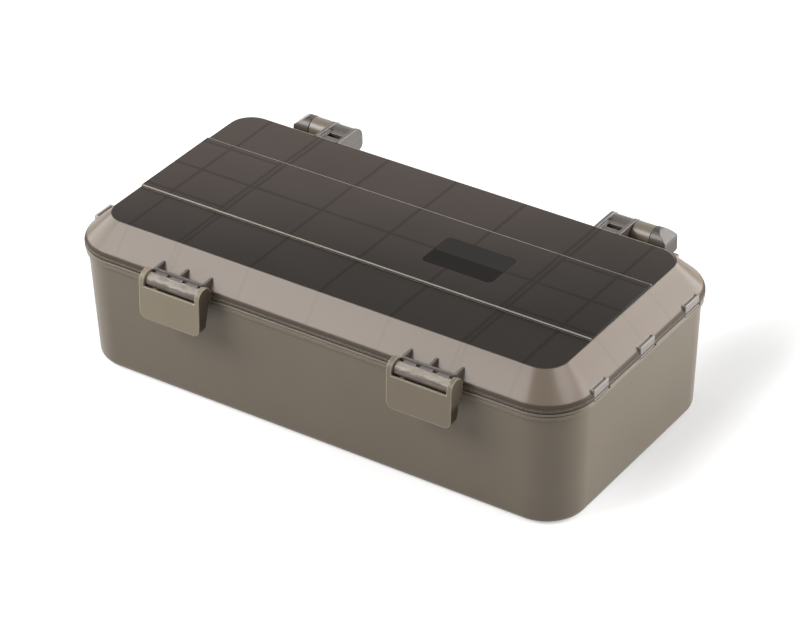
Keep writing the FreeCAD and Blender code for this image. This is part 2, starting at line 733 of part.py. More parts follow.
for word, side in SIDES.items():
    name = word.capitalize()
    middle = signed(side, "latch_x")
    half = "latch_width / 2"
    inside = "latch_width / 2 - latch_arm"
    shell = side_prism(f"Latch{name}Shell", LATCH, f"{middle} - {half}", "latch_width")
    round_edges(shell, f"Latch{name}Head", "latch_head - 0.02",
                lambda edge: spans(edge, "x") and level(edge, size("head_top")))
    round_edges(shell, f"Latch{name}Corners", "latch_corner",
                lambda edge: spans(edge, "y") and level(edge, size("latch_foot")))
    hollow = block(f"Latch{name}Hollow",
                   (f"{middle} - ( {inside} )", "latch_inner", "latch_inner_foot"),
                   (f"{middle} + {inside}", "head_back + 1", "head_top + 1"))
    window = block(f"Latch{name}Window",
                   (f"{middle} - ( {inside} )", "latch_foot_front - 1", "latch_window"),
                   (f"{middle} + {inside}", "head_back + 1", "head_top + 1"))
    frame = cut(f"Latch{name}Frame", shell, [hollow, window])
    hook = block(f"Latch{name}Hook", (f"{middle} - ( {inside} )", "latch_inner - 1", "hook_bottom"),
                 (f"{middle} + {inside}", "keeper_front - snap_clearance", "hook_top"))
    stubs = [rod(f"Latch{name}Stub{letter}", start, "stub_length", "stub_radius",
                 "pivot_front", "pivot_height")
             for letter, start in (("A", f"{middle} - ( {inside} )"),
                                   ("B", f"{middle} + {inside} - stub_length"))]
    deliver(fuse(f"Latch{name}", [frame, hook] + stubs), f"latch_{word}")

# ---------------------------------------------------------------------------------------------
# Trays and removable dividers
# ---------------------------------------------------------------------------------------------


def upright_block(name, low_x, high_x, low_y, high_y, base, rise):
    """Body with a rectangular plan, padded upwards from its base."""
    corners = [(low_x, low_y), (high_x, low_y), (high_x, high_y), (low_x, high_y)]
    return prism(name, "XY_Plane", corners, base, rise)


def round_uprights(body, name, radius, test):
    """Fillet the upright edges that pass a test on their X and Y, if there are any."""

    def chosen(edge):
        return spans(edge, "z") and test(edge.BoundBox.XMin, edge.BoundBox.YMin)

    if edges_where(body.Tip.Shape, chosen):
        round_edges(body, name, radius, chosen)


def end_lane(name, side, near, far, base, rise, wall):
    """Upright block between two distances from the middle; the far corners follow the box's end.

    wall is how far the block lies inside the tray's outline.
    """
    low, high = ordered(side, near, far)
    reach = f"tray_back - ( {wall} )"
    body = upright_block(name, low, high, f"-1 * ( {reach} )", reach, base, rise)
    end = side * (size("tray_side") - measure(wall))
    round_uprights(body, name + "Ends", f"tray_end_radius - ( {wall} )",
                   lambda x, y: abs(x - end) < 1e-3)
    round_uprights(body, name + "Corners", "tray_radius",
                   lambda x, y: abs(x - end) > size("tray_end_radius")
                   and abs(abs(y) - measure(reach)) < 1e-3)
    return body


def long_lane(name, low_y, high_y, base, rise, wall):
    """Upright block of the centre tray, wall inside its ends."""
    reach = f"tray_mid - ( {wall} )"
    body = upright_block(name, f"-1 * ( {reach} )", reach, low_y, high_y, base, rise)
    round_uprights(body, name + "Corners", "tray_radius", lambda x, y: True)
    return body


def across_slot(name, low_x, high_x, middle_y):
    """Groove cutter for a divider that stands across Y."""
    half = "divider_thickness / 2 + groove_clearance"
    return block(name, (f"{low_x} - groove_depth", f"{middle_y} - ( {half} )", "tray_base"),
                 (f"{high_x} + groove_depth", f"{middle_y} + {half}", "tray_top + 1"))


def along_slot(name, low_y, high_y, middle_x):
    """Groove cutter for a divider that stands across X."""
    half = "divider_thickness / 2 + groove_clearance"
    return block(name, (f"{middle_x} - ( {half} )", f"{low_y} - groove_depth", "tray_base"),
                 (f"{middle_x} + {half}", f"{high_y} + groove_depth", "tray_top + 1"))


def divider(label, low, high, grip):
    """Thin plate with a half-round finger grip in its top edge."""
    name = label.title().replace("_", "")
    plate = block(f"{name}Plate", low, high)
    deliver(cut(name, plate, [grip]), label)


FACING_Y = Rotation(Vector(1, 0, 0), -90)
STEPS = {"front": -1, "middle": 0, "rear": 1}

for word, side in SIDES.items():
    name = word.capitalize()
    shell = end_lane(f"Tray{name}Block", side, "tray_split + tray_gap / 2", "tray_side", "tub_floor",
                     "tray_height", "0")
    round_edges(shell, f"Tray{name}Foot", "tray_radius - 0.5",
                lambda edge: level(edge, size("tub_floor")))
    lanes = {"inner": ("tray_split + tray_gap / 2 + tray_wall", "lane_x - tray_wall / 2"),
             "outer": ("lane_x + tray_wall / 2", "tray_side - tray_wall")}
    tools = []
    for lane, (near, far) in lanes.items():
        lane_name = f"{name}{lane.capitalize()}"
        tools.append(end_lane(f"Tray{lane_name}", side, near, far, "tray_base", "tray_height",
                              "tray_wall"))
        low, high = ordered(side, near, far)
        for place_word, step in STEPS.items():
            row = f"{step} * cell_y"
            tools.append(across_slot(f"Slot{lane_name}{place_word.capitalize()}", low, high, row))
            grip = turned_rod(f"Grip{lane_name}{place_word.capitalize()}", FACING_Y,
                              (f"( {low} + {high} ) / 2", f"{row} - divider_thickness", "divider_top"),
                              "2 * divider_thickness", "divider_grip")
            ends = "groove_depth - groove_clearance"
            divider(f"divider_{word}_{lane}_{place_word}",
                    (f"{low} - ( {ends} )", f"{row} - divider_thickness / 2", "tray_base"),
                    (f"{high} + {ends}", f"{row} + divider_thickness / 2", "divider_top"), grip)
    near, far = ordered(side, *lanes["inner"])
    tools.append(turned_rod(f"Lift{name}", FACING_Y,
                            (f"( {near} + {far} ) / 2", "-1 * rim_depth / 2", "tray_top"),
                            "rim_depth", "lift_radius"))
    deliver(cut(f"Tray{name}", shell, tools), f"tray_{word}")

shell = long_lane("TrayCentreBlock", "-1 * tray_back", "tray_back", "tub_floor", "tray_height", "0")
round_edges(shell, "TrayCentreFoot", "tray_radius - 0.5",
            lambda edge: level(edge, size("tub_floor")))
lanes = {"front": ("tray_wall - tray_back", "-1 * tray_wall / 2"),
         "rear": ("tray_wall / 2", "tray_back - tray_wall")}
COLUMNS = {"left": -1, "middle": 0, "right": 1}
tools = []
for lane, (low, high) in lanes.items():
    lane_name = f"Centre{lane.capitalize()}"
    tools.append(long_lane(f"Tray{lane_name}", low, high, "tray_base", "tray_height", "tray_wall"))
    for place_word, step in COLUMNS.items():
        column = f"{step} * cell_x"
        tools.append(along_slot(f"Slot{lane_name}{place_word.capitalize()}", low, high, column))
        grip = rod(f"Grip{lane_name}{place_word.capitalize()}", f"{column} - divider_thickness",
                   "2 * divider_thickness", "divider_grip", f"( {low} + {high} ) / 2", "divider_top")
        ends = "groove_depth - groove_clearance"
        divider(f"divider_centre_{lane}_{place_word}",
                (f"{column} - divider_thickness / 2", f"{low} - ( {ends} )", "tray_base"),
                (f"{column} + divider_thickness / 2", f"{high} + {ends}", "divider_top"), grip)
tools.append(turned_rod("LiftCentre", FACING_Y, ("-1 * cell_x / 2", "-1 * rim_depth / 2", "tray_top"),
                        "rim_depth", "lift_radius"))
deliver(cut("TrayCentre", shell, tools), "tray_centre")

# ---------------------------------------------------------------------------------------------
# Check every object and export the finished pieces
# ---------------------------------------------------------------------------------------------
doc.recompute()
for item in doc.Objects:
    if {"Invalid", "Error"} & set(item.State):
        raise RuntimeError(f"{item.Name} did not compute: {item.State}")
for item in finished:
    shape = item.Shape
    if shape.isNull() or not shape.isValid() or len(shape.Solids) != 1:
        raise RuntimeError(f"{item.Label} is not one valid solid")
    shape.exportStep(f"parts/{item.Label}.step")
print(f"{len(finished)} pieces")
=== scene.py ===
"""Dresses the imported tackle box: tub, smoke-tinted lid, snap latches, hinges and trays, and the studio."""

import logging
import math
from collections.abc import Callable, Iterable
from dataclasses import dataclass, field
from enum import Enum
from functools import partialmethod
from typing import Any, Self

import bmesh
import bpy
from mathutils import Matrix, Vector


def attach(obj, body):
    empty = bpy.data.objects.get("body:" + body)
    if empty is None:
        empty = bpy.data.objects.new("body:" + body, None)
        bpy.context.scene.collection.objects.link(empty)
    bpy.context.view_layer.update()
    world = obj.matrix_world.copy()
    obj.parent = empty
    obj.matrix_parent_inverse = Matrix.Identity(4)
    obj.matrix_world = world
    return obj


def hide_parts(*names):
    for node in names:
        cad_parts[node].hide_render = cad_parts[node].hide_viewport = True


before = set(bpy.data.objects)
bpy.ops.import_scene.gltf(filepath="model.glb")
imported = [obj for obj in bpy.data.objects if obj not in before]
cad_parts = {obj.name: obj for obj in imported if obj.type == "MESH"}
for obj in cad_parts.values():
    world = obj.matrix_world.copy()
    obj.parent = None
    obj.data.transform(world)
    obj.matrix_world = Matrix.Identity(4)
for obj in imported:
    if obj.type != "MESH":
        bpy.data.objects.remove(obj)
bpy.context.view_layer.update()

LOG = logging.getLogger("tackle_box")
MM = 0.001
MERGE = 1e-4
SAME = 1e-3
SMOOTH_BELOW = math.radians(32)
FLAT_BELOW = math.radians(0.3)
MIX_A, MIX_B, MIX_COLOUR = 6, 7, 2
WHITE = (1.0, 1.0, 1.0)
Point = tuple[float, float, float]
Colour = tuple[float, float, float]
Pair = tuple[float, float]
Profile = tuple[Pair, ...]
Material = bpy.types.Material
Socket = bpy.types.NodeSocket


class Node(Enum):
    """Nodes that shaped pieces stand for: the node's name, its body and its material slot."""

    TUB = ("tub", "tub", "tub_plastic")
    LID = ("lid", "lid", "lid_plastic")
    LABEL = ("label_plate", "lid", "label")
    LATCH_LEFT = ("latch_left", "latch_left", "latch_plastic")
    LATCH_RIGHT = ("latch_right", "latch_right", "latch_plastic")


class Side(Enum):
    """Left and right end of the box, by the sign of X."""

    LEFT = -1
    RIGHT = 1

    @property
    def word(self) -> str:
        """Lower-case name used in piece names."""
        return self.name.lower()

    def span(self, near: float, far: float) -> Pair:
        """Lower and upper X of a stretch that runs outwards on this side."""
        low, high = sorted((self.value * near, self.value * far))
        return low, high


def srgb(red: int, green: int, blue: int) -> Colour:
    """Linear colour from three 8-bit display values.

    Args:
        red: Red from 0 to 255.
        green: Green from 0 to 255.
        blue: Blue from 0 to 255.

    Returns:
        The colour in linear light.
    """

    def linear(value: float) -> float:
        """One channel in linear light."""
        return value / 12.92 if value <= 0.04045 else ((value + 0.055) / 1.055) ** 2.4

    return linear(red / 255), linear(green / 255), linear(blue / 255)


# Shader building


@dataclass(frozen=True)
class Noise:
    """Cloudy pattern: waves per millimetre, levels of detail, and stretch of the place it is read at."""

    scale: float
    detail: float = 2.0
    stretch: Point = (1.0, 1.0, 1.0)


class Value:
    """A number socket whose arithmetic adds Math nodes."""

    def __init__(self, tree: "NodeTree", socket: Socket) -> None:
        """Wrap a socket of a node tree."""
        self.tree = tree
        self.socket = socket

    def _math(self, operation: str, *others: Any, swapped: bool = False) -> "Value":
        """Result of a Math node on this value and others, which come first if swapped."""
        inputs = (*others, self) if swapped else (self, *others)
        made = self.tree.node("ShaderNodeMath", {"operation": operation}, dict(enumerate(inputs)))
        return Value(self.tree, made.outputs[0])

    __add__ = __radd__ = partialmethod(_math, "ADD")
    __sub__ = partialmethod(_math, "SUBTRACT")
    __rsub__ = partialmethod(_math, "SUBTRACT", swapped=True)
    __mul__ = __rmul__ = partialmethod(_math, "MULTIPLY")
    __abs__ = partialmethod(_math, "ABSOLUTE")
    highest = partialmethod(_math, "MAXIMUM")
    lowest = partialmethod(_math, "MINIMUM")
    root = partialmethod(_math, "SQRT")

    def ramp(self, start: float, end: float, low: float = 0.0, high: float = 1.0) -> "Value":
        """Smooth step from low at start to high at end."""
        inputs = {"Value": self, "From Min": start, "From Max": end, "To Min": low, "To Max": high}
        made = self.tree.node("ShaderNodeMapRange", {"interpolation_type": "SMOOTHSTEP"}, inputs)
        return Value(self.tree, made.outputs["Result"])

    def near(self, place: float, half: float, soft: float) -> "Value":
        """1 within half of a place and 0 beyond half + soft."""
        return abs(self - place).ramp(half + soft, half)


class NodeTree:
    """Nodes of a material or of the world."""

    def __init__(self, owner: Material | bpy.types.World) -> None:
        """Start with no nodes."""
        owner.use_nodes = True
        self.nodes, self.links = owner.node_tree.nodes, owner.node_tree.links
        self.nodes.clear()

    def node(self, kind: str, settings: dict[str, Any] | None = None,
             inputs: dict[str | int, Any] | None = None) -> bpy.types.Node:
        """Add a node.

        Args:
            kind: Blender's type name of the node.
            settings: Properties, set before the sockets.
            inputs: Values or links of sockets, by name or number.

        Returns:
            The node.
        """
        made = self.nodes.new(kind)
        for key, value in (settings or {}).items():
            setattr(made, key, value)
        for key, value in (inputs or {}).items():
            self.feed(made.inputs[key], value)
        return made

    def feed(self, socket: Socket, value: Any) -> None:
        """Link a socket to a value or output, or set its number, colour or vector."""
        if isinstance(value, Value):
            value = value.socket
        if isinstance(value, Socket):
            self.links.new(value, socket)
        elif isinstance(value, tuple) and socket.type == "RGBA":
            socket.default_value = (*value, 1.0)
        else:
            socket.default_value = value

    def backdrop(self) -> Value:
        """1 on rays that see the backdrop, straight or by way of gloss or glass."""
        path = self.node("ShaderNodeLightPath")
        seen = Value(self, path.outputs["Is Camera Ray"])
        for ray in ("Is Glossy Ray", "Is Transmission Ray"):
            seen = seen.highest(Value(self, path.outputs[ray]))
        return seen


class Shader(NodeTree):
    """Node tree of one material: a Principled surface, and the place on the piece in millimetres."""

    def __init__(self, name: str) -> None:
        """Start a material."""
        self.material = bpy.data.materials.new(name)
        super().__init__(self.material)
        self.surface = self.node("ShaderNodeBsdfPrincipled")
        self.node("ShaderNodeOutputMaterial", None, {"Surface": self.surface.outputs["BSDF"]})
        self.where = self.scaled(self.node("ShaderNodeTexCoord").outputs["Object"], 1 / MM)
        split = self.node("ShaderNodeSeparateXYZ", None, {0: self.where})
        self.x, self.y, self.z = (Value(self, out) for out in split.outputs)
        self.normal: Socket | None = None

    def scaled(self, vector: Any, factor: Any) -> Socket:
        """Colour or vector multiplied by a number."""
        made = self.node("ShaderNodeVectorMath", {"operation": "SCALE"}, {0: vector, "Scale": factor})
        return made.outputs[0]

    def noise(self, pattern: Noise) -> Value:
        """Noise about zero, from -0.5 to 0.5."""
        stretched = self.node("ShaderNodeVectorMath", {"operation": "MULTIPLY"},
                              {0: self.where, 1: pattern.stretch}).outputs[0]
        made = self.node("ShaderNodeTexNoise", None,
                         {"Vector": stretched, "Scale": pattern.scale, "Detail": pattern.detail})
        return Value(self, made.outputs["Fac"]) - 0.5

    def mix(self, factor: Any, first: Any, second: Any) -> Socket:
        """Mix of two colours."""
        made = self.node("ShaderNodeMix", {"data_type": "RGBA"}, {0: factor, MIX_A: first, MIX_B: second})
        return made.outputs[MIX_COLOUR]

    def edges(self, radius: float, gain: float = 9.0) -> Value:
        """Round the normal over edges.

        Args:
            radius: Reach of the rounding, in millimetres.
            gain: How quickly the mask fills.

        Returns:
            Mask that is 1 on edges.
        """
        self.normal = self.node("ShaderNodeBevel", {"samples": 4}, {"Radius": radius * MM}).outputs[0]
        plain = self.node("ShaderNodeNewGeometry").outputs["Normal"]
        dot = self.node("ShaderNodeVectorMath", {"operation": "DOT_PRODUCT"}, {0: self.normal, 1: plain})
        return ((1.0 - Value(self, dot.outputs["Value"])) * gain).lowest(1.0)

    def bump(self, height: Value, strength: float) -> None:
        """Bump the rounded normal by a height in millimetres."""
        inputs = {"Strength": strength, "Distance": MM, "Height": height}
        if self.normal:
            inputs["Normal"] = self.normal
        self.normal = self.node("ShaderNodeBump", None, inputs).outputs[0]

    def finish(self, colour: Any, roughness: Any, **others: Any) -> Material:
        """Wire up the surface.

        Args:
            colour: Base colour.
            roughness: Roughness.
            others: Other sockets, with spaces written as underscores.

        Returns:
            The finished material.
        """
        inputs = {"Base_Color": colour, "Roughness": roughness, **others}
        if self.normal:
            inputs["Normal"] = self.normal
        for key, value in inputs.items():
            self.feed(self.surface.inputs[key.replace("_", " ")], value)
        return self.material


# Finishes; their lengths are in millimetres


@dataclass(frozen=True)
class MouldedPlastic:
    """Satin moulded plastic with a fine grain and cloudy tone; its edge colour is painted highlight where
    pale and painted shade where dark, it is darker towards the bottom as painted shade, and its level bands
    are painted shade and painted highlight.
    """

    name: str
    colour: Colour
    # edge colour: painted highlight along the edges where pale, painted shade along them where dark
    edge: Colour
    roughness: float = 0.36
    rough_swing: Pair = (0.10, 0.06)
    cloud: float = 0.06
    edge_reach: float = 0.35
    edge_gain: float = 9.0
    edge_share: float = 0.5
    coat: float = 0.0
    coat_roughness: float = 0.18
    specular: float = 0.35
    # level bands of painted shade (tone change below 0) and painted highlight (above 0): height, half width,
    # tone change
    shade_and_highlight_stripes: tuple[tuple[float, float, float], ...] = ()
    stripe_soft: float = 0.2
    clouds: Noise = Noise(0.035, 3.0)
    flow: Noise = Noise(0.05, 2.0, (1.0, 1.0, 0.12))
    specks: Noise = Noise(2.2)
    grains: Noise = Noise(3.5, 3.0)
    grain_height: float = 0.05
    grain_bump: float = 0.35
    top: float = 60.0
    # tone from the bottom to the top: painted shade that darkens the bottom
    tone_range: Pair = (0.97, 1.02)

    def face(self, shader: Shader, cloud: Value, speck: Value) -> Socket:
        """Colour away from the edges: the plain colour in a soft tone, darker towards the bottom as painted
        shade, with its level bands of painted shade and painted highlight.
        """
        tone = 1.0 + cloud * (2 * self.cloud) + shader.noise(self.flow) * self.cloud + speck * 0.03
        # painted shade: darker towards the bottom
        tone = tone * shader.z.ramp(0.0, self.top, *self.tone_range)
        # level bands of painted shade and painted highlight
        for level, half, change in self.shade_and_highlight_stripes:
            tone = tone * (1.0 + shader.z.near(level, half, self.stripe_soft) * change)
        return shader.scaled(self.colour, tone)

    def make(self) -> Material:
        """Build the material."""
        shader = Shader(self.name)
        cloud, speck = shader.noise(self.clouds), shader.noise(self.specks)
        # edge colour laid over the edges: painted highlight where pale, painted shade where dark
        painted_edge_mask = shader.edges(self.edge_reach, self.edge_gain)
        colour = shader.mix(painted_edge_mask * self.edge_share, self.face(shader, cloud, speck), self.edge)
        roughness = self.roughness + cloud * self.rough_swing[0] + speck * self.rough_swing[1]
        shader.bump(shader.noise(self.grains) * self.grain_height, self.grain_bump)
        return shader.finish(colour, roughness, Coat_Weight=self.coat, Coat_Roughness=self.coat_roughness,
                             Specular_IOR_Level=self.specular)


@dataclass(frozen=True)
class LatchPlastic(MouldedPlastic):
    """The tub's plastic on a latch: a lighter face with painted shade darkening it towards the right, outer
    sides darkened as painted shade, and pale edges painted as highlight.
    """

    name: str = "latch_olive_plastic"
    colour: Colour = srgb(117, 107, 91)
    edge: Colour = srgb(190, 180, 162)
    # colour of the outer sides: painted shade
    side: Colour = srgb(62, 56, 45)
    roughness: float = 0.4
    edge_reach: float = 0.6
    edge_gain: float = 14.0
    edge_share: float = 0.85
    specular: float = 0.3
    clouds: Noise = Noise(0.05, 3.0)
    middle: float = 72.0
    half: float = 18.0

    def face(self, shader: Shader, cloud: Value, speck: Value) -> Socket:
        """Colour away from the edges: painted shade, darker towards the right, and darkest on the outer
        sides.
        """
        x, z = shader.x, shader.z
        # painted shade: the face darker towards the right
        tone = x.ramp(-40.0, 40.0, 1.14, 0.86) + cloud * 0.12 + speck * 0.04
        # painted shade on the outer sides, weaker on the right latch above its lower part
        outer = abs(abs(x) - self.middle).ramp(self.half - 0.25, self.half - 0.05)
        outer = outer * (1.0 - x.ramp(-10.0, 10.0) * z.ramp(58.5, 62.0) * 0.7)
        return shader.scaled(shader.mix(outer, self.colour, self.side), tone)


@dataclass(frozen=True)
class BlankLabel(MouldedPlastic):
    """Blank label in two plain fields: dark in front, the lid's own tone behind."""

    name: str = "label_dark_plastic"
    colour: Colour = srgb(32, 30, 29)
    edge: Colour = srgb(24, 22, 21)
    back: Colour = srgb(44, 42, 41)
    divide: float = -0.7
    divide_soft: float = 0.15
    roughness: float = 0.3
    rough_swing: Pair = (0.0, 0.06)
    edge_reach: float = 0.4
    edge_share: float = 0.8
    coat: float = 0.1
    coat_roughness: float = 0.24
    specular: float = 0.0
    clouds: Noise = Noise(0.05)
    specks: Noise = Noise(2.0)
    grains: Noise = Noise(2.0)
    grain_height: float = 0.02
    grain_bump: float = 0.3

    def face(self, shader: Shader, cloud: Value, speck: Value) -> Socket:
        """Colour away from the edges: one tone in front of the divide and one behind it."""
        behind = shader.y.ramp(self.divide - self.divide_soft, self.divide + self.divide_soft)
        return shader.scaled(shader.mix(behind, self.colour, self.back), 1.0 + cloud * 0.12 + speck * 0.05)


@dataclass(frozen=True)
class SmokeLid:
    """Smoke-tinted lid: a dark polished top with rib lines and a painted reflection that lightens it towards
    the back, paler satin slopes that are partly painted reflection, painted shade on the shoulder, and
    painted highlights along edges, the band's edges and the top's back corners.
    """

    name: str = "lid_smoke_plastic"
    top: Colour = srgb(47, 44, 42)
    # colour the top takes towards its back left: a painted reflection
    top_back_reflection: Colour = srgb(73, 66, 62)
    # slope colour: partly the slopes' own paler tone, partly painted reflection of bright surroundings
    slope: Colour = srgb(111, 98, 86)
    # shoulder colour: painted shade on the rounding below the slopes
    shoulder: Colour = srgb(78, 70, 62)
    # edge colour: painted highlight along edges, the band's edges and round the top's back corners
    edge: Colour = srgb(190, 182, 170)
    top_height: float = 81.7
    shoulder_height: float = 70.0
    cross_ribs: tuple[float, ...] = (-113.5, -83.5, -80.5, -40.5, 0.0, 40.5, 80.5, 83.5, 113.5)
    end_rib: float = 24.0
    split: float = 82.0
    rib: Pair = (0.45, 0.9)
    end_rib_half: float = 0.4
    rib_shade: Pair = (0.24, 0.06)
    wander: Noise = Noise(0.05, 1.0)
    clouds: Noise = Noise(0.012)
    specks: Noise = Noise(2.0)
    grains: Noise = Noise(3.0, 3.0)
    grain_height: float = 0.02
    grain_bump: float = 0.3
    edge_reach: float = 0.4
    roughness: float = 0.30
    coat_roughness: float = 0.24
    # slopes across Y and X, and range, of the top's painted reflection
    fade: Pair = (0.010, 0.0035)
    fade_range: Pair = (-0.75, 0.95)
    band_half: float = 27.8
    # share of the painted highlight along the band's edges
    band_highlight_share: float = 0.62
    slope_coat: float = 0.42
    end_loss: float = 0.14
    corner_gain: float = 0.39
    top_coat: float = 0.10
    top_half: Pair = (130.5, 60.1)
    top_radius: float = 13.5

    def rib_lines(self, shader: Shader) -> Value:
        """1 on the faint lines of the ribs inside the lid."""
        wobble = shader.noise(self.wander) * 0.8
        x, y = shader.x + wobble, shader.y + wobble
        ends = abs(shader.x).ramp(self.split - 0.5, self.split + 0.5)
        first, *others = self.cross_ribs
        lines = shader.x.near(first, *self.rib)
        for place in others:
            lines = lines.highest(x.near(place, *self.rib))
        lines = lines.highest(abs(shader.y).near(self.end_rib, self.end_rib_half, self.rib[1]) * ends)
        return lines.highest(y.near(0.0, *self.rib))

    def back_highlight(self, shader: Shader) -> Value:
        """1 on the painted highlight line round the top's two back corners."""
        straight_x, straight_y = (half - self.top_radius for half in self.top_half)
        corner_x = (abs(shader.x) - straight_x).highest(0.0)
        corner_y = (shader.y - straight_y).highest(0.0)
        brim = (corner_x * corner_x + corner_y * corner_y).root()
        return brim.near(self.top_radius - 0.15, 0.1, 0.2) * corner_y.ramp(6.0, 13.0)

    def gloss(self, shader: Shader) -> Value:
        """Coat of the slopes: less on the right end, more beside its front corner."""
        x, y = shader.x, shader.y
        end = x.ramp(126.0, 136.0) * y.ramp(-60.0, -50.0)
        corner = (x + y * 0.9).ramp(71.0, 78.0) * y.ramp(-46.0, -56.0)
        return self.slope_coat - end * self.end_loss + corner * self.corner_gain

    def make(self) -> Material:
        """Build the material."""
        shader = Shader(self.name)
        lines = self.rib_lines(shader)
        cloud, speck = shader.noise(self.clouds), shader.noise(self.specks)
        on_top = shader.z.ramp(self.top_height - 0.35, self.top_height - 0.05)
        crest = shader.z.ramp(self.top_height + 0.5, self.top_height + 0.9)
        # below the shoulder height: painted shade
        low = shader.z.ramp(self.shoulder_height, self.shoulder_height - 0.8)
        # painted reflection: the top lighter towards the back and the left
        far = (shader.y * self.fade[0] - shader.x * self.fade[1] + cloud * 0.7).ramp(*self.fade_range)
        top = shader.scaled(shader.mix(far, self.top, self.top_back_reflection), 1.0 - lines * self.rib_shade[0])
        # slopes: partly their own paler tone, partly painted reflection
        slope = shader.scaled(self.slope, 1.0 + cloud * 0.08 + speck * 0.03 - lines * self.rib_shade[1])
        slope = shader.mix(low, slope, self.shoulder)
        colour = shader.mix(on_top, slope, top)
        # painted highlight along the edges, weaker on the raised band
        painted_edge_mask = shader.edges(self.edge_reach)
        # painted highlight lines just inside the band's edges
        step = abs(shader.y).near(self.band_half - 0.2, 0.2, 0.12) * crest
        share = (painted_edge_mask * (0.55 - crest * 0.5)).highest(step * self.band_highlight_share)
        colour = shader.mix(share, colour, self.edge)
        # painted highlight round the top's back corners
        line = self.back_highlight(shader) * (1.0 - crest) * on_top
        colour = shader.mix(line * 0.5, colour, self.edge)
        coat = (1.0 - on_top) * (1.0 - low) * self.gloss(shader) + self.top_coat
        shader.bump(shader.noise(self.grains) * self.grain_height, self.grain_bump)
        return shader.finish(colour, self.roughness - on_top * 0.06 + cloud * 0.06, Coat_Weight=coat,
                             Coat_Roughness=self.coat_roughness, Specular_IOR_Level=0.0)


@dataclass(frozen=True)
class ClearBar:
    """Pale see-through moulding: painted light makes it lighter above, painted shade makes it darker below,
    where it is more finely streaked; pale edges are painted highlight.
    """

    name: str = "roll_clear_plastic"
    # above: painted light on the roll's top; below: painted shade on its underside
    above: Colour = srgb(150, 142, 130)
    below: Colour = srgb(112, 103, 94)
    dark: Colour = srgb(84, 77, 70)
    # edge colour: painted highlight
    edge: Colour = srgb(204, 198, 188)
    turn_height: float = 71.3
    turn_soft: float = 0.35
    patches: Noise = Noise(0.30, 3.0, (0.6, 1.4, 1.4))
    streaks: Noise = Noise(0.9, 3.0, (0.12, 1.6, 1.6))
    specks: Noise = Noise(1.4)
    ragged: Noise = Noise(0.22)

    def make(self) -> Material:
        """Build the material."""
        shader = Shader(self.name)
        patch = shader.noise(self.patches).ramp(-0.05, 0.18)
        streak = shader.noise(self.streaks).ramp(-0.08, 0.12)
        speck = shader.noise(self.specks)
        turn = shader.z + shader.noise(self.ragged) * 3.0
        # painted light above the turn height, painted shade below it
        upper = turn.ramp(self.turn_height - self.turn_soft, self.turn_height + self.turn_soft)
        colour = shader.mix(upper, self.below, self.above)
        colour = shader.mix((patch * 0.45).highest(streak * (0.85 - upper * 0.6)), colour, self.dark)
        colour = shader.mix(shader.edges(0.3) * 0.6, colour, self.edge)
        shader.bump(speck * 0.06 + streak * 0.05, 0.5)
        return shader.finish(colour, 0.34 + streak * 0.12 + speck * 0.08, Specular_IOR_Level=0.3)


@dataclass(frozen=True)
class DrawnWire:
    """Plain drawn steel wire."""

    name: str = "pin_wire"
    colour: Colour = srgb(176, 174, 170)
    scratches: Noise = Noise(1.5, 3.0, (0.06, 1.0, 1.0))

    def make(self) -> Material:
        """Build the material."""
        shader = Shader(self.name)
        scratch = shader.noise(self.scratches)
        shader.bump(scratch * 0.03, 0.4)
        colour = shader.scaled(self.colour, 1.0 + scratch * 0.3)
        return shader.finish(colour, 0.28 + scratch * 0.2, Metallic=1.0)


# Mesh building; lengths are in millimetres


def around(middle: float, half: float) -> Pair:
    """Stretch that reaches half to each side of a middle."""
    return middle - half, middle + half


def show(name: str, data: bpy.types.ID) -> bpy.types.Object:
    """New object in the scene."""
    made = bpy.data.objects.new(name, data)
    bpy.context.scene.collection.objects.link(made)
    return made


class Outline:
    """Closed outline in the plane X = 0, drawn point by point in Y and Z."""

    def __init__(self, start: Pair, *points: Pair) -> None:
        """Start the outline at a point and carry it on through others."""
        self.bm = bmesh.new()
        self.first = self.last = self.bm.verts.new((0.0, *start))
        self.to(*points)

    def to(self, *points: Pair) -> Self:
        """Straight lines to points."""
        for point in points:
            self.last = bmesh.ops.extrude_vert_indiv(self.bm, verts=[self.last])["verts"][0]
            self.last.co = (0.0, *point)
        return self

    def arc(self, centre: Pair, degrees: float, steps: int) -> Self:
        """Arc about a centre; positive degrees turn from +Y towards +Z."""
        made = bmesh.ops.spin(self.bm, geom=[self.last], cent=(0.0, *centre), axis=(1.0, 0.0, 0.0),
                              angle=math.radians(degrees), steps=steps, use_merge=False)
        self.last = next(item for item in made["geom_last"] if isinstance(item, bmesh.types.BMVert))
        return self

    def close(self) -> bmesh.types.BMFace:
        """Join the ends and fill the outline."""
        self.bm.edges.new((self.last, self.first))
        return bmesh.ops.contextual_create(self.bm, geom=self.bm.edges[:])["faces"][0]


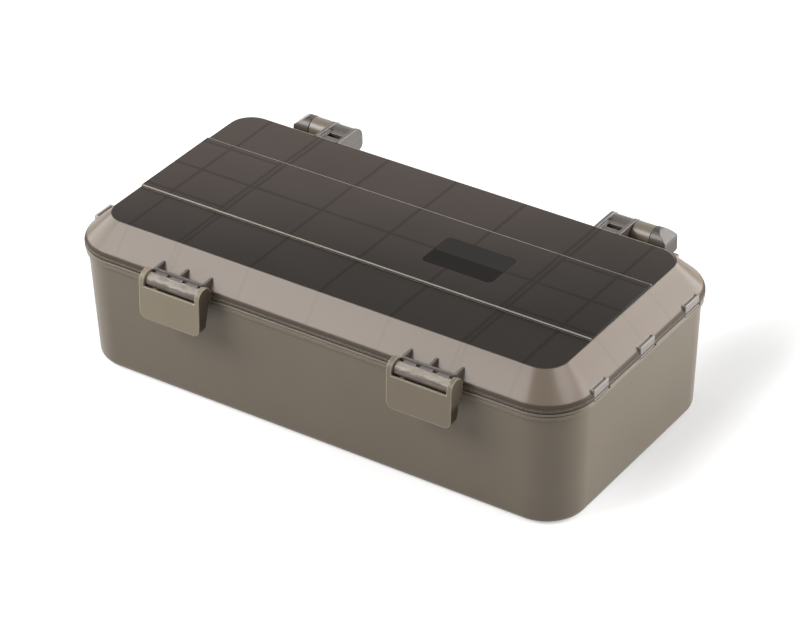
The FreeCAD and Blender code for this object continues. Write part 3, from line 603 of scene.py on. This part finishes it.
class Solid:
    """A closed shape under construction."""

    def __init__(self, bm: bmesh.types.BMesh | None = None) -> None:
        """Start from a bmesh, or from nothing."""
        self.bm = bm or bmesh.new()

    @classmethod
    def block(cls, x: Pair, y: Pair, z: Pair) -> Self:
        """Box over a stretch of each axis."""
        solid = cls()
        verts = bmesh.ops.create_cube(solid.bm, size=1.0)["verts"]
        low, high = (Vector(corner) for corner in zip(x, y, z))
        bmesh.ops.scale(solid.bm, vec=high - low, verts=verts)
        bmesh.ops.translate(solid.bm, vec=low + (high - low) / 2, verts=verts)
        return solid

    @classmethod
    def plate(cls, x: Pair, y: Pair, z: Pair, radius: float) -> Self:
        """Box with rounded upright edges."""
        return cls.block(x, y, z).round(radius, 6, lambda a, b: abs(a.x - b.x) + abs(a.y - b.y) < SAME)

    @classmethod
    def rod(cls, x: Pair, centre: Pair, radius: float, segments: int = 40) -> Self:
        """Cylinder along X about a centre in Y and Z."""
        solid = cls()
        turn = Matrix.Translation(((x[0] + x[1]) / 2, *centre)) @ Matrix.Rotation(math.pi / 2, 4, "Y")
        bmesh.ops.create_cone(solid.bm, cap_ends=True, segments=segments, radius1=radius, radius2=radius,
                              depth=x[1] - x[0], matrix=turn)
        return solid

    @classmethod
    def prism(cls, outline: Outline, x: Pair) -> Self:
        """Outline swept over a stretch of X."""
        face = outline.close()
        solid = cls(outline.bm)
        made = bmesh.ops.extrude_face_region(solid.bm, geom=[face], use_keep_orig=True)["geom"]
        moved = [item for item in made if isinstance(item, bmesh.types.BMVert)]
        bmesh.ops.translate(solid.bm, vec=(x[1] - x[0], 0.0, 0.0), verts=moved)
        bmesh.ops.translate(solid.bm, vec=(x[0], 0.0, 0.0), verts=solid.bm.verts[:])
        bmesh.ops.recalc_face_normals(solid.bm, faces=solid.bm.faces[:])
        return solid

    def round(self, radius: float, segments: int, test: Callable[[Vector, Vector], bool]) -> Self:
        """Bevel the edges whose two ends pass a test."""
        chosen = [edge for edge in self.bm.edges if test(edge.verts[0].co, edge.verts[1].co)]
        bmesh.ops.bevel(self.bm, geom=chosen, offset=radius, segments=segments, profile=0.5,
                        affect="EDGES", material=-1, clamp_overlap=True)
        return self

    def shown(self, name: str) -> bpy.types.Object:
        """Object that holds the shape as it stands."""
        mesh = bpy.data.meshes.new(name)
        self.bm.to_mesh(mesh)
        return show(name, mesh)

    def _combine(self, operation: str, *others: "Solid") -> Self:
        """Boolean with other solids."""
        for other in others:
            holder, tool = self.shown("work"), other.shown("tool")
            modifier = holder.modifiers.new("combine", "BOOLEAN")
            modifier.operation = operation
            modifier.solver = "EXACT"
            modifier.object = tool
            graph = bpy.context.evaluated_depsgraph_get()
            result = bpy.data.meshes.new_from_object(holder.evaluated_get(graph))
            self.bm.clear()
            self.bm.from_mesh(result)
            for item in (holder, tool):
                mesh = item.data
                bpy.data.objects.remove(item)
                bpy.data.meshes.remove(mesh)
            bpy.data.meshes.remove(result)
        bmesh.ops.remove_doubles(self.bm, verts=self.bm.verts[:], dist=MERGE)
        return self

    fuse = partialmethod(_combine, "UNION")
    carve = partialmethod(_combine, "DIFFERENCE")
    keep = partialmethod(_combine, "INTERSECT")

    def piece(self, name: str, node: Node, *materials: Material, bevel: float = 0.0,
              seam: Pair | None = None) -> None:
        """Finish the shape as an object that stands for a node.

        Args:
            name: Piece name.
            node: Node that it replaces, with the body it rides on.
            materials: Materials by face index.
            bevel: Width of the rounding on sharp edges.
            seam: Y and Z at which two cuts split the faces that have a hole.
        """
        if bevel:
            bmesh.ops.dissolve_limit(self.bm, angle_limit=FLAT_BELOW, verts=self.bm.verts[:],
                                     edges=self.bm.edges[:])
        for normal in ((0.0, 1.0, 0.0), (0.0, 0.0, 1.0)) if seam else ():
            bmesh.ops.bisect_plane(self.bm, plane_co=(0.0, *seam), plane_no=normal, dist=MERGE,
                                   geom=self.bm.verts[:] + self.bm.edges[:] + self.bm.faces[:])
        bmesh.ops.transform(self.bm, matrix=Matrix.Scale(MM, 4), verts=self.bm.verts[:])
        made = self.shown(name)
        self.bm.free()
        made.data.shade_smooth()
        made.data.set_sharp_from_angle(angle=SMOOTH_BELOW)
        for material in materials:
            made.data.materials.append(material)
        if bevel:
            modifier = made.modifiers.new("edge_rounding", "BEVEL")
            modifier.width = bevel * MM
            modifier.segments = 2
            modifier.limit_method = "ANGLE"
            modifier.angle_limit = SMOOTH_BELOW
            modifier.harden_normals = True
            modifier.use_clamp_overlap = True
            made.modifiers.new("face_weighting", "WEIGHTED_NORMAL").keep_sharp = True
        replaced, body, slot = node.value
        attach(made, body)
        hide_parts(replaced)
        LOG.info("piece %s rides on %s", name, body)


@dataclass(frozen=True)
class RimFrame:
    """Outline that tub and lid share at the rim, and the places of its clips and latches."""

    length: float = 290.0
    depth: float = 147.0
    radius: float = 25.5
    corner_steps: int = 14
    clip_pitch: float = 42.0
    latch_middle: float = 72.0


class Shell(Solid):
    """Shell of rounded-rectangle rings, each inset from the rim's outline."""

    def __init__(self, rim: RimFrame, inset: float, z: float, extra: float = 0.0) -> None:
        """Start with a flat plate.

        Args:
            rim: The rim's outline.
            inset: Distance in from the rim along the sides.
            z: Height.
            extra: Further distance in at the two ends.
        """
        super().__init__()
        self.inset, self.extra, self.z = inset, extra, z
        verts = bmesh.ops.create_grid(self.bm, x_segments=1, y_segments=1, size=0.5)["verts"]
        scale = (rim.length - 2 * (inset + extra), rim.depth - 2 * inset, 1.0)
        bmesh.ops.scale(self.bm, vec=scale, verts=verts)
        bmesh.ops.translate(self.bm, vec=(0.0, 0.0, z), verts=verts)
        bmesh.ops.bevel(self.bm, geom=self.bm.verts[:], offset=rim.radius - inset,
                        segments=rim.corner_steps, profile=0.5, affect="VERTICES", material=-1)
        made = bmesh.ops.extrude_face_region(self.bm, geom=self.bm.faces[:], use_keep_orig=True)["geom"]
        self.cap = next(item for item in made if isinstance(item, bmesh.types.BMFace))

    def go(self, inset: float, z: float, extra: float = 0.0, index: int = 0) -> Self:
        """Carry the shell on to another ring.

        Args:
            inset: Distance in from the rim along the sides.
            z: Height.
            extra: Further distance in at the two ends.
            index: Material index of the faces made.

        Returns:
            This shell.
        """
        least = 1e-6
        thickness = inset - self.inset
        if abs(thickness) < least:
            thickness = least
        ring = bmesh.ops.inset_individual(self.bm, faces=[self.cap], thickness=thickness,
                                          use_even_offset=True)
        for made in (*ring["faces"], self.cap):
            made.material_index = index
        bmesh.ops.translate(self.bm, vec=(0.0, 0.0, z - self.z), verts=self.cap.verts[:])
        for sign in (-1, 1):
            half = [vert for vert in self.cap.verts if vert.co.x * sign > 0]
            bmesh.ops.translate(self.bm, vec=(-sign * (extra - self.extra), 0.0, 0.0), verts=half)
        self.inset, self.extra, self.z = inset, extra, z
        return self

    def follow(self, profile: Iterable[Pair], index: int = 0) -> Self:
        """Carry the shell on through rings given as inset and height."""
        for inset, z in profile:
            self.go(inset, z, index=index)
        return self

    def bend(self, centre: Pair, radius: float, turn: Pair, steps: int, index: int = 0) -> Self:
        """Carry the shell round an arc, in degrees, in the plane of inset and height."""
        start, end = turn
        for step in range(1, steps + 1):
            angle = math.radians(start + (end - start) * step / steps)
            inset, z = centre[0] + radius * math.cos(angle), centre[1] + radius * math.sin(angle)
            self.go(inset, z, index=index)
        return self

    def seal(self) -> Self:
        """Merge doubled points and make every face look outwards."""
        bmesh.ops.remove_doubles(self.bm, verts=self.bm.verts[:], dist=MERGE / 10)
        bmesh.ops.recalc_face_normals(self.bm, faces=self.bm.faces[:])
        return self


# Sub-assemblies; their lengths are in millimetres

STEPS = (-1, 0, 1)
OVER = 1.0


def material_of(finish: Any) -> Any:
    """Dataclass field that starts as the material of a finish."""
    return field(default_factory=finish.make)


@dataclass
class Finishes:
    """Materials that the sub-assemblies share."""

    # Tub: the band at 61.3 is a painted shadow under the flange, the bands at 62.7 and 64.75 are painted
    # highlight; every pale edge colour here is a painted highlight
    tub: Material = material_of(MouldedPlastic(
        "tub_olive_plastic", srgb(102, 92, 78), srgb(166, 156, 142),
        shade_and_highlight_stripes=((61.3, 0.3, -0.6), (62.7, 0.5, 0.12), (64.75, 0.25, 0.15))))
    # Tub inside: the tub's plastic made darker as painted shade inside the box
    tub_inside: Material = material_of(MouldedPlastic(
        "tub_inside_plastic", srgb(84, 76, 68), srgb(140, 130, 118), roughness=0.45))
    latch: Material = material_of(LatchPlastic())
    lid: Material = material_of(SmokeLid())
    lid_inside: Material = material_of(MouldedPlastic(
        "lid_inside_plastic", srgb(70, 64, 60), srgb(130, 121, 112), roughness=0.3))
    hinge: Material = material_of(MouldedPlastic(
        "hinge_smoke_plastic", srgb(77, 71, 66), srgb(176, 168, 158), roughness=0.26, cloud=0.2, coat=0.4))
    # Mount: the dark edge colour is painted shade along the fins' and plate's edges
    mount: Material = material_of(MouldedPlastic(
        "mount_smoke_plastic", srgb(94, 87, 80), srgb(36, 32, 28), roughness=0.3, edge_reach=0.8,
        edge_share=1.0, coat=0.4))
    bar: Material = material_of(ClearBar())
    tray: Material = material_of(MouldedPlastic(
        "tray_smoke_plastic", srgb(66, 60, 55), srgb(116, 107, 98), roughness=0.38))
    divider: Material = material_of(MouldedPlastic(
        "divider_smoke_plastic", srgb(74, 68, 62), srgb(128, 119, 110), roughness=0.34))
    clip: Material = material_of(MouldedPlastic(
        "lid_fitting_plastic", srgb(117, 109, 103), srgb(188, 180, 170), roughness=0.3, coat=0.3))
    pale_clip: Material = material_of(MouldedPlastic(
        "lid_pale_plastic", srgb(176, 170, 163), srgb(206, 200, 193), roughness=0.3, coat=0.2))
    # Ear: the band at 70 is painted shade under the boss, the one at 81.7 painted shade along its top
    ear: Material = material_of(MouldedPlastic(
        "ear_smoke_plastic", srgb(76, 68, 62), srgb(112, 104, 97), roughness=0.34, cloud=0.14,
        edge_share=0.3, coat=0.28, coat_roughness=0.28, shade_and_highlight_stripes=((70.0, 5.4, -0.6), (81.7, 0.6, -0.45))))
    tab: Material = material_of(MouldedPlastic(
        "tab_smoke_plastic", srgb(96, 88, 85), srgb(176, 168, 162), roughness=0.3, cloud=0.3,
        edge_reach=0.55, edge_share=1.0, coat=0.2))
    knuckle: Material = material_of(MouldedPlastic(
        "knuckle_olive_plastic", srgb(98, 88, 74), srgb(178, 168, 152), roughness=0.4, edge_share=0.8,
        coat=0.7, coat_roughness=0.29))
    label: Material = material_of(BlankLabel())
    pin: Material = material_of(DrawnWire())

    def dress_nodes(self) -> None:
        """Give each node that is shown as it is its material."""
        shown = {"tray": self.tray, "divider": self.divider, "hinge_pin": self.pin}
        for name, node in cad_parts.items():
            for start, material in shown.items():
                if name.startswith(start):
                    node.data.materials.clear()
                    node.data.materials.append(material)
                    LOG.info("node %s dressed with %s", name, material.name)


@dataclass
class SubAssembly:
    """What the sub-assemblies share: the materials and the rim."""

    finishes: Finishes
    rim: RimFrame = RimFrame()


@dataclass
class Tub(SubAssembly):
    """Lower shell with its banded rim and latch keepers."""

    height: float = 65.4
    flange_bottom: float = 61.6
    overhang: float = 1.7
    draft: float = 0.041
    wall: float = 2.4
    lip: float = 0.3
    floor: float = 2.6
    base_fillet: float = 4.4
    floor_fillet: float = 2.6
    bands: Profile = ((0.55, 61.62), (0.4, 61.8), (0.4, 63.4), (0.55, 63.6), (1.0, 63.65),
                               (1.0, 64.05), (0.2, 64.1), (0.0, 64.3), (0.0, 65.15), (0.25, 65.4))
    seat_depth: float = 1.9
    seat_drop: float = 1.0
    seat_reach: Pair = (-6.9, 7.9)
    keeper_half: float = 13.6
    keeper_y: Pair = (-77.2, -71.0)
    keeper_z: Pair = (58.6, 62.4)

    def lean(self, z: float) -> float:
        """Inset of the drafted outer wall at a height."""
        return self.overhang + self.draft * (self.flange_bottom - z)

    def build(self) -> None:
        """Make the shell, with a seat in the rim for each clip."""
        foot = self.lean(self.base_fillet) + self.base_fillet
        shell = Shell(self.rim, foot, 0.0)
        shell.bend((foot, self.base_fillet), self.base_fillet, (-90, -180), 6)
        shell.go(self.overhang, self.flange_bottom).follow(self.bands)
        inside = self.overhang + self.wall
        shell.go(inside - self.lip, self.height).go(inside, self.height - self.lip, index=1)
        level = self.floor + self.floor_fillet
        inner = self.lean(level) + self.wall
        shell.go(inner, level, index=1)
        shell.bend((inner + self.floor_fillet, level), self.floor_fillet, (180, 270), 5, 1).seal()
        end = self.rim.length / 2
        for side in Side:
            for step in STEPS:
                y = [step * self.rim.clip_pitch + reach for reach in self.seat_reach]
                shell.carve(Solid.block(side.span(end - self.seat_depth, end + OVER), y,
                                        (self.height - self.seat_drop, self.height + OVER)))
        shell.piece("tub_shell", Node.TUB, self.finishes.tub, self.finishes.tub_inside)

    def keeper(self, side: Side) -> None:
        """Make the ledge that a latch hooks under."""
        x = around(side.value * self.rim.latch_middle, self.keeper_half)
        ledge = Solid.block(x, self.keeper_y, self.keeper_z)
        ledge.piece(f"latch_keeper_{side.word}", Node.TUB, self.finishes.tub, bevel=0.4)


@dataclass
class Lid(SubAssembly):
    """Upper shell with sloping edges, a raised centre band, ribs inside and clips on its ends."""

    bottom: float = 65.9
    foot: float = 68.3
    height: float = SmokeLid.top_height
    top_inset: float = 13.4
    ceiling_inset: float = 14.3
    end_extra: float = 1.1
    shoulder: float = 5.0
    shoulder_turn: Pair = (164, 135)
    wall: float = 2.2
    band_half: float = SmokeLid.band_half
    band_rise: float = 1.2
    band_root: float = 1.7
    inside: float = 3.5
    inside_top: float = 68.6
    rebate: float = 67.4
    skirt: Profile = ((6.4, 67.4), (6.6, 67.2), (6.6, 63.1), (6.4, 62.9), (5.2, 62.9),
                               (5.0, 63.1), (5.0, 65.9))
    brim: Profile = ((0.25, 65.9), (0.0, 66.1), (0.0, 67.0), (0.5, 67.15), (0.5, 67.45), (0.32, 67.6))
    label_x: Pair = (26.0, 65.6)
    label_half: float = 12.3
    label_radius: float = 2.85
    label_depth: float = 0.6
    label_gap: float = 0.15
    label_rise: float = 0.1
    rib_half: float = 0.65
    rib_reach: Pair = (144.0, 72.0)
    rib_z: Pair = (60.0, 81.0)
    clip_half: float = 6.5
    clip_x: Pair = (141.8, 145.0)
    clip_heights: Pair = (1.9, 5.0)
    toe_x: Pair = (143.5, 145.0)
    toe_bottom: float = 64.8
    slot_half: float = 5.7
    slot_x: Pair = (142.5, 143.8)
    slot_z: Pair = (2.8, 9.0)

    @property
    def crest(self) -> float:
        """Height of the centre band."""
        return self.height + self.band_rise

    def build(self) -> None:
        """Make the shell."""
        shell = Shell(self.rim, self.ceiling_inset, self.height - self.wall, self.end_extra)
        shell.cap.material_index = 1
        shell.follow(((self.inside, self.inside_top), (self.inside, self.rebate), *self.skirt), 1)
        shell.follow(self.brim)
        reach = self.shoulder * math.tan(math.radians(22.5))
        shell.bend((self.shoulder, self.foot - reach), self.shoulder, self.shoulder_turn, 6)
        shell.go(self.top_inset - 0.15, self.height - 0.15, self.end_extra * 0.99)
        shell.go(self.top_inset, self.height - 0.03, self.end_extra)
        shell.go(self.top_inset + 0.2, self.height, self.end_extra).seal()
        end = self.rim.length / 2 - self.top_inset - self.end_extra
        band = Solid.block(around(0.0, end), around(0.0, self.band_half),
                           (self.height - self.band_root, self.crest))
        band.round(0.35, 3, lambda a, b: min(a.z, b.z) > self.crest - SAME)
        shell.fuse(band)
        shell.carve(self.label(self.label_gap, OVER))
        shell.piece("lid_shell", Node.LID, self.finishes.lid, self.finishes.lid_inside)

    def label(self, gap: float, rise: float) -> Solid:
        """Label plate's shape, grown by a gap and standing out of the band."""
        low, high = self.label_x
        z = (self.crest - self.label_depth, self.crest + rise)
        return Solid.plate((low - gap, high + gap), around(0.0, self.label_half + gap), z,
                           self.label_radius + gap)

    def badge(self) -> None:
        """Make the blank label plate set into the centre band."""
        self.label(0.0, self.label_rise).piece("label_badge", Node.LABEL, self.finishes.label, bevel=0.12)

    def cavity(self, deeper: float, lower: float) -> Shell:
        """Solid that fills the lid's hollow, drawn in from its walls."""
        shell = Shell(self.rim, self.inside + deeper, self.bottom - lower)
        shell.go(self.inside + deeper, self.inside_top - lower * 0.3)
        shell.go(self.ceiling_inset + deeper * 0.4, self.height - self.wall - lower, self.end_extra)
        return shell.seal()

    def ribs(self) -> None:
        """Make the lattice of shallow ribs under the lid's top and slopes."""
        half, z = self.rib_half, self.rib_z
        across, along = self.rib_reach
        slabs = [Solid.block(around(0.0, across), around(0.0, half), z)]
        for place in SmokeLid.cross_ribs:
            slabs.append(Solid.block(around(place, half), around(0.0, along), z))
        for side in Side:
            for row in around(0.0, SmokeLid.end_rib):
                slabs.append(Solid.block(side.span(SmokeLid.split, across), around(row, half), z))
        lattice = slabs[0].fuse(*slabs[1:])
        lattice.keep(self.cavity(-0.3, -0.3)).carve(self.cavity(2.3, 2.0))
        lattice.carve(Solid.block(around(0.0, across), around(0.0, across), (0.0, self.rebate)))
        lattice.piece("lid_ribs", Node.LID, self.finishes.lid_inside)

    def clip(self, side: Side, step: int) -> None:
        """Make one end's clip at a place, with a slot behind a tall one's face."""
        middle = step * self.rim.clip_pitch
        tall = side is Side.RIGHT or step < 0
        y = around(middle, self.clip_half)
        top = self.bottom + self.clip_heights[tall]
        clip = Solid.block(side.span(*self.clip_x), y, (self.bottom, top))
        clip.fuse(Solid.block(side.span(*self.toe_x), y, (self.toe_bottom, self.bottom + OVER)))
        if tall:
            clip.carve(Solid.block(side.span(*self.slot_x), around(middle, self.slot_half),
                                   [self.bottom + rise for rise in self.slot_z]))
        finish = self.finishes.pale_clip if tall and side is Side.LEFT else self.finishes.clip
        clip.piece(f"end_clip_{side.word}_{step + 2}", Node.LID, finish, bevel=0.3)


@dataclass
class LatchPart:
    """What a latch and its mount share: the side and the pivot, in Y and Z."""

    finishes: Finishes
    side: Side
    middle: float = RimFrame.latch_middle
    pivot: Pair = (-79.1, 69.5)

    def about(self, half: float, offset: float = 0.0) -> Pair:
        """Stretch of X about the latch's middle."""
        return around(self.side.value * self.middle + offset, half)


@dataclass
class Latch(LatchPart):
    """Framed snap latch that turns on the lid's roll."""

    half: float = 18.0
    arm: float = 2.7
    head: float = 5.1
    neck: float = 2.4
    toe: Pair = (-85.1, 49.9)
    back: Profile = ((-76.8, 62.6), (-80.4, 49.9))
    toe_radius: float = 4.0
    hollow_y: Pair = (-83.1, -60.0)
    hollow_floor: float = 51.9
    face: float = 6.9
    window: float = 67.7
    hook_y: Pair = (-83.6, -77.4)
    hook_z: Pair = (55.6, 58.1)
    hook_root: float = 0.5
    beyond_z: float = 90.0

    def build(self) -> None:
        """Make the latch."""
        y, z = self.pivot
        outline = Outline(self.toe, (y - self.head, z)).arc(self.pivot, -180, 18)
        outline.to((y + self.head, z - self.neck), *self.back)
        body = Solid.prism(outline, self.about(self.half))
        body.round(self.toe_radius, 8, lambda a, b: abs(a.x - b.x) + abs(a.z - b.z) < SAME
                   and a.z < self.toe[1] + SAME)
        inside, past = self.half - self.arm, self.beyond_z
        front, rear = self.hollow_y
        body.carve(Solid.block(self.about(inside), (front, rear), (self.hollow_floor, past)),
                   Solid.block(self.about(inside), (front - self.face, rear), (self.window, past)))
        body.fuse(Solid.block(self.about(inside + self.hook_root), self.hook_y, self.hook_z))
        body.piece(f"latch_{self.side.word}_frame", Node[f"LATCH_{self.side.name}"], self.finishes.latch,
                   bevel=0.35)


@dataclass
class LatchMount(LatchPart):
    """Roll that a latch turns on, and the webbed plate that carries it on the lid."""

    plate_half: float = 14.4
    section: Profile = ((-76.1, 67.0), (-76.1, 74.0), (-74.8, 74.0), (-74.8, 68.6), (-71.9, 68.6),
                                 (-71.9, 67.0))
    fin: Profile = ((-67.25, 73.95), (-75.5, 73.95), (-75.5, 67.05), (-71.65, 67.05))
    fin_pitch: float = 14.3
    fin_half: float = 0.7
    tab_pitch: float = 9.2
    tab_half: float = 3.3
    tab_rise: Pair = (1.7, 3.7)
    tab_root: float = -75.0
    roll_half: float = 15.0
    roll_radius: float = 3.5
    rounding: float = 0.25

    def build(self) -> None:
        """Make the plate, the tabs and the roll."""
        y, z = self.pivot
        plate, tabs = Solid.prism(Outline(*self.section), self.about(self.plate_half)), Solid()
        for step in STEPS:
            plate.fuse(Solid.prism(Outline(*self.fin), self.about(self.fin_half, step * self.fin_pitch)))
            tabs.fuse(Solid.block(self.about(self.tab_half, step * self.tab_pitch), (y, self.tab_root),
                                  [z + rise for rise in self.tab_rise]))
        roll = Solid.rod(self.about(self.roll_half), self.pivot, self.roll_radius)
        made = {"mount": (plate, self.finishes.mount), "tabs": (tabs, self.finishes.tab),
                "roll": (roll, self.finishes.bar)}
        for name, (solid, finish) in made.items():
            solid.piece(f"latch_{name}_{self.side.word}", Node.LID, finish, bevel=self.rounding)


@dataclass
class Hinge:
    """One hinge: hollow inner ear, solid outer ear and the tub's knuckle on its bracket."""

    finishes: Finishes
    side: Side
    middle: float
    axis: Pair = (75.4, 75.45)
    top: float = 81.7
    ear: float = 6.25
    ear_front: Pair = (58.6, 80.9)
    ear_foot: Pair = (71.6, 68.55)
    heels: Pair = (3.0, 1.2)
    inner: Pair = (-20.35, -5.45)
    cheek: float = 2.0
    sunk: float = 0.45
    web_y: float = 61.9
    web_z: Pair = (78.3, 79.85)
    web_inset: float = 0.6
    web_slot: float = 3.2
    web_slot_y: Pair = (65.75, 69.15)
    bore: Pair = (-18.85, -2.45)
    bore_radius: float = 1.5
    outer: Pair = (5.45, 14.45)
    outer_back: float = 71.05
    slope_start: float = 8.45
    slope_drop: float = 4.2
    slope_block: Profile = ((-20.0, 20.0), (50.0, 90.0), (0.0, 12.0))
    knuckle: float = 6.0
    knuckle_half: float = 5.1
    knuckle_bore: float = 1.55
    stem_y: Pair = (74.1, 81.4)
    stem_bottom: float = 60.55
    stem_inset: float = 0.05
    bracket: Pair = (-21.55, 15.65)
    bracket_outline: Profile = ((70.4, 50.05), (72.0, 50.05), (81.4, 60.55), (81.4, 66.25),
                                         (74.1, 66.25), (74.1, 65.4), (70.4, 65.4))

    def stretch(self, near: float, far: float) -> Pair:
        """X range from distances outboard of the knuckle's middle."""
        low, high = self.side.span(near, far)
        return self.middle + low, self.middle + high

    def heel(self, outline: Outline, radius: float, steps: int) -> Outline:
        """Run an ear's outline down its back and round its heel."""
        y, z = self.axis[0] + self.ear, self.ear_foot[1] + radius
        return outline.to((y, z)).arc((y - radius, z), -90, steps)

    def cheek_solid(self, x: Pair) -> Solid:
        """Side of the inner ear: flat top, round about the axis, wide heel."""
        corners = ((self.ear_front[0], self.top), (self.axis[0], self.top))
        outline = Outline(self.ear_front, *corners).arc(self.axis, -90, 10)
        return Solid.prism(self.heel(outline, self.heels[0], 5).to(self.ear_foot), x)

    def inner_ear(self) -> None:
        """Make the hollow ear on the lid, with its web and bore."""
        near, far = self.stretch(*self.inner)
        ear = self.cheek_solid((near, near + self.cheek))
        ear.fuse(self.cheek_solid((far - self.cheek, far)),
                 Solid.rod((near + 0.5, far - 0.5), self.axis, self.ear - self.sunk, 48))
        low, high = self.web_z
        web = Solid.block((near + self.web_inset, far - self.web_inset), (self.web_y, self.axis[0]),
                          (low, high))
        web.carve(Solid.block((near + self.web_slot, far - self.web_slot), self.web_slot_y,
                              (low - OVER, high + OVER)))
        ear.fuse(web)
        ear.carve(Solid.rod(self.stretch(*self.bore), self.axis, self.bore_radius, 32))
        ear.piece(f"hinge_{self.side.word}_inner_ear", Node.LID, self.finishes.hinge, bevel=0.18,
                  seam=self.axis)

    def outer_ear(self) -> None:
        """Make the solid ear on the lid, round about the axis and cut by a slope."""
        back = self.axis[0] - self.ear
        outline = Outline(self.ear_foot, (back, self.outer_back), (back, self.axis[1]))
        outline = self.heel(outline.arc(self.axis, -180, 36), self.heels[1], 4)
        ear = Solid.prism(outline, self.stretch(*self.outer))
        slope = Solid.block(*self.slope_block)
        lean = math.atan2(self.slope_drop, self.outer[1] - self.slope_start) * self.side.value
        start = (self.middle + self.side.value * self.slope_start, 0.0, self.top)
        bmesh.ops.transform(slope.bm, matrix=Matrix.Translation(start) @ Matrix.Rotation(lean, 4, "Y"),
                            verts=slope.bm.verts[:])
        ear.carve(slope)
        ear.piece(f"hinge_{self.side.word}_outer_ear", Node.LID, self.finishes.ear, bevel=0.3)

    def barrel(self) -> None:
        """Make the knuckle and its bracket on the tub."""
        low, high = self.stretch(-self.knuckle_half, self.knuckle_half)
        barrel = Solid.rod((low, high), self.axis, self.knuckle, 48)
        barrel.fuse(Solid.block((low + self.stem_inset, high - self.stem_inset), self.stem_y,
                                (self.stem_bottom, self.axis[1])))
        barrel.fuse(Solid.prism(Outline(*self.bracket_outline), self.stretch(*self.bracket)))
        barrel.carve(Solid.rod((low - OVER, high + OVER), self.axis, self.knuckle_bore, 32))
        barrel.piece(f"hinge_{self.side.word}_knuckle", Node.TUB, self.finishes.knuckle, bevel=0.4)


# Studio


@dataclass(frozen=True)
class Lamp:
    """Rectangular soft lamp: name, place, width and height in metres, watts, and the point it faces."""

    name: str
    place: Point
    size: Pair
    power: float
    aim: Point = (0.0, 0.0, 0.05)

    def build(self) -> None:
        """Make the lamp."""
        data = bpy.data.lights.new(self.name, "AREA")
        data.shape = "RECTANGLE"
        data.size, data.size_y = self.size
        data.energy = self.power
        made = show(self.name, data)
        made.location = self.place
        made.rotation_euler = (Vector(self.place) - Vector(self.aim)).to_track_quat("Z", "Y").to_euler()


@dataclass
class Studio:
    """Pale floor, soft lamps, world and camera."""

    azimuth: float = 34.283
    elevation: float = 33.039
    roll: float = -1.026
    distance: float = 1.690822
    focal_px: float = 3433.836
    aim_across: float = 0.005858
    aim_up: float = -0.005007
    aim_height: float = 0.038
    shift_px: Pair = (3.749, 4.160)
    image_width: float = 800.0
    sensor: float = 36.0
    lamps: tuple[Lamp, ...] = (
        Lamp("front_softbox", (-0.95, -1.10, 1.25), (1.2, 1.0), 31.0),
        Lamp("left_softbox", (-1.75, -0.20, 0.72), (1.3, 1.0), 21.0),
        Lamp("end_softbox", (1.22, 1.42, 0.60), (2.1, 1.3), 71.0),
        Lamp("top_softbox", (1.07, 0.26, 1.40), (1.2, 0.6), 7.5))
    world_level: float = 0.232
    floor_half: float = 6.0
    floor_colour: Colour = (0.62, 0.62, 0.62)
    floor_glow: float = 0.485
    shadow_loss: float = 0.33

    def camera(self) -> None:
        """Make the camera."""
        turn, rise = math.radians(self.azimuth), math.radians(self.elevation)
        back = Vector((math.sin(turn) * math.cos(rise), -math.cos(turn) * math.cos(rise), math.sin(rise)))
        right = Vector((math.cos(turn), math.sin(turn), 0.0))
        up = back.cross(right)
        roll = math.radians(self.roll)
        across = right * math.cos(roll) + up * math.sin(roll)
        above = up * math.cos(roll) - right * math.sin(roll)
        target = Vector((0.0, 0.0, self.aim_height)) + right * self.aim_across + up * self.aim_up
        data = bpy.data.cameras.new("camera")
        data.sensor_width = self.sensor
        data.lens = self.focal_px * self.sensor / self.image_width
        data.shift_x = -self.shift_px[0] / self.image_width
        data.shift_y = self.shift_px[1] / self.image_width
        data.clip_start, data.clip_end = 0.05, 50.0
        made = show("camera", data)
        made.matrix_world = Matrix.Translation(target + back * self.distance) @ Matrix(
            (across, above, back)).transposed().to_4x4()
        bpy.context.scene.camera = made

    def world(self) -> None:
        """Make the world: white where it is seen, dimmer where it lights."""
        made = bpy.data.worlds.new("studio")
        tree = NodeTree(made)
        strength = tree.backdrop() * (1.0 - self.world_level) + self.world_level
        background = tree.node("ShaderNodeBackground", None, {"Color": WHITE, "Strength": strength})
        tree.node("ShaderNodeOutputWorld", None, {"Surface": background.outputs[0]})
        bpy.context.scene.world = made

    def floor(self) -> None:
        """Make the pale floor, which glows where it is seen, and less behind the right end, as a painted
        shadow.
        """
        bm = bmesh.new()
        bmesh.ops.create_grid(bm, x_segments=1, y_segments=1, size=self.floor_half)
        mesh = bpy.data.meshes.new("floor")
        bm.to_mesh(mesh)
        bm.free()
        shader = Shader("floor_white")
        # painted shadow: the glow is weaker in a band behind the right end
        behind = shader.y.ramp(-80.0, 20.0)
        beside = shader.x.ramp(90.0, 140.0) - shader.x.ramp(146.0, 182.0)
        glow = shader.backdrop() * (self.floor_glow - behind * beside * self.shadow_loss)
        light = shader.scaled(WHITE, glow)
        mesh.materials.append(shader.finish(self.floor_colour, 0.9, Specular_IOR_Level=0.0,
                                            Emission_Strength=1.0, Emission_Color=light))
        show("floor", mesh)

    def build(self) -> None:
        """Set up the whole studio."""
        self.floor()
        for lamp in self.lamps:
            lamp.build()
        self.world()
        self.camera()
        bpy.context.scene.view_settings.view_transform = "Standard"


def main() -> None:
    """Build every sub-assembly, then the studio."""
    logging.basicConfig(level=logging.INFO, format="%(message)s")
    finishes = Finishes()
    tub, lid = Tub(finishes), Lid(finishes)
    tub.build()
    lid.build()
    lid.ribs()
    lid.badge()
    for side, middle in ((Side.LEFT, -92.3), (Side.RIGHT, 99.3)):
        tub.keeper(side)
        for step in STEPS:
            lid.clip(side, step)
        Latch(finishes, side).build()
        LatchMount(finishes, side).build()
        hinge = Hinge(finishes, side, middle)
        hinge.inner_ear()
        hinge.outer_ear()
        hinge.barrel()
    finishes.dress_nodes()
    Studio().build()


if __name__ == "__main__":
    main()
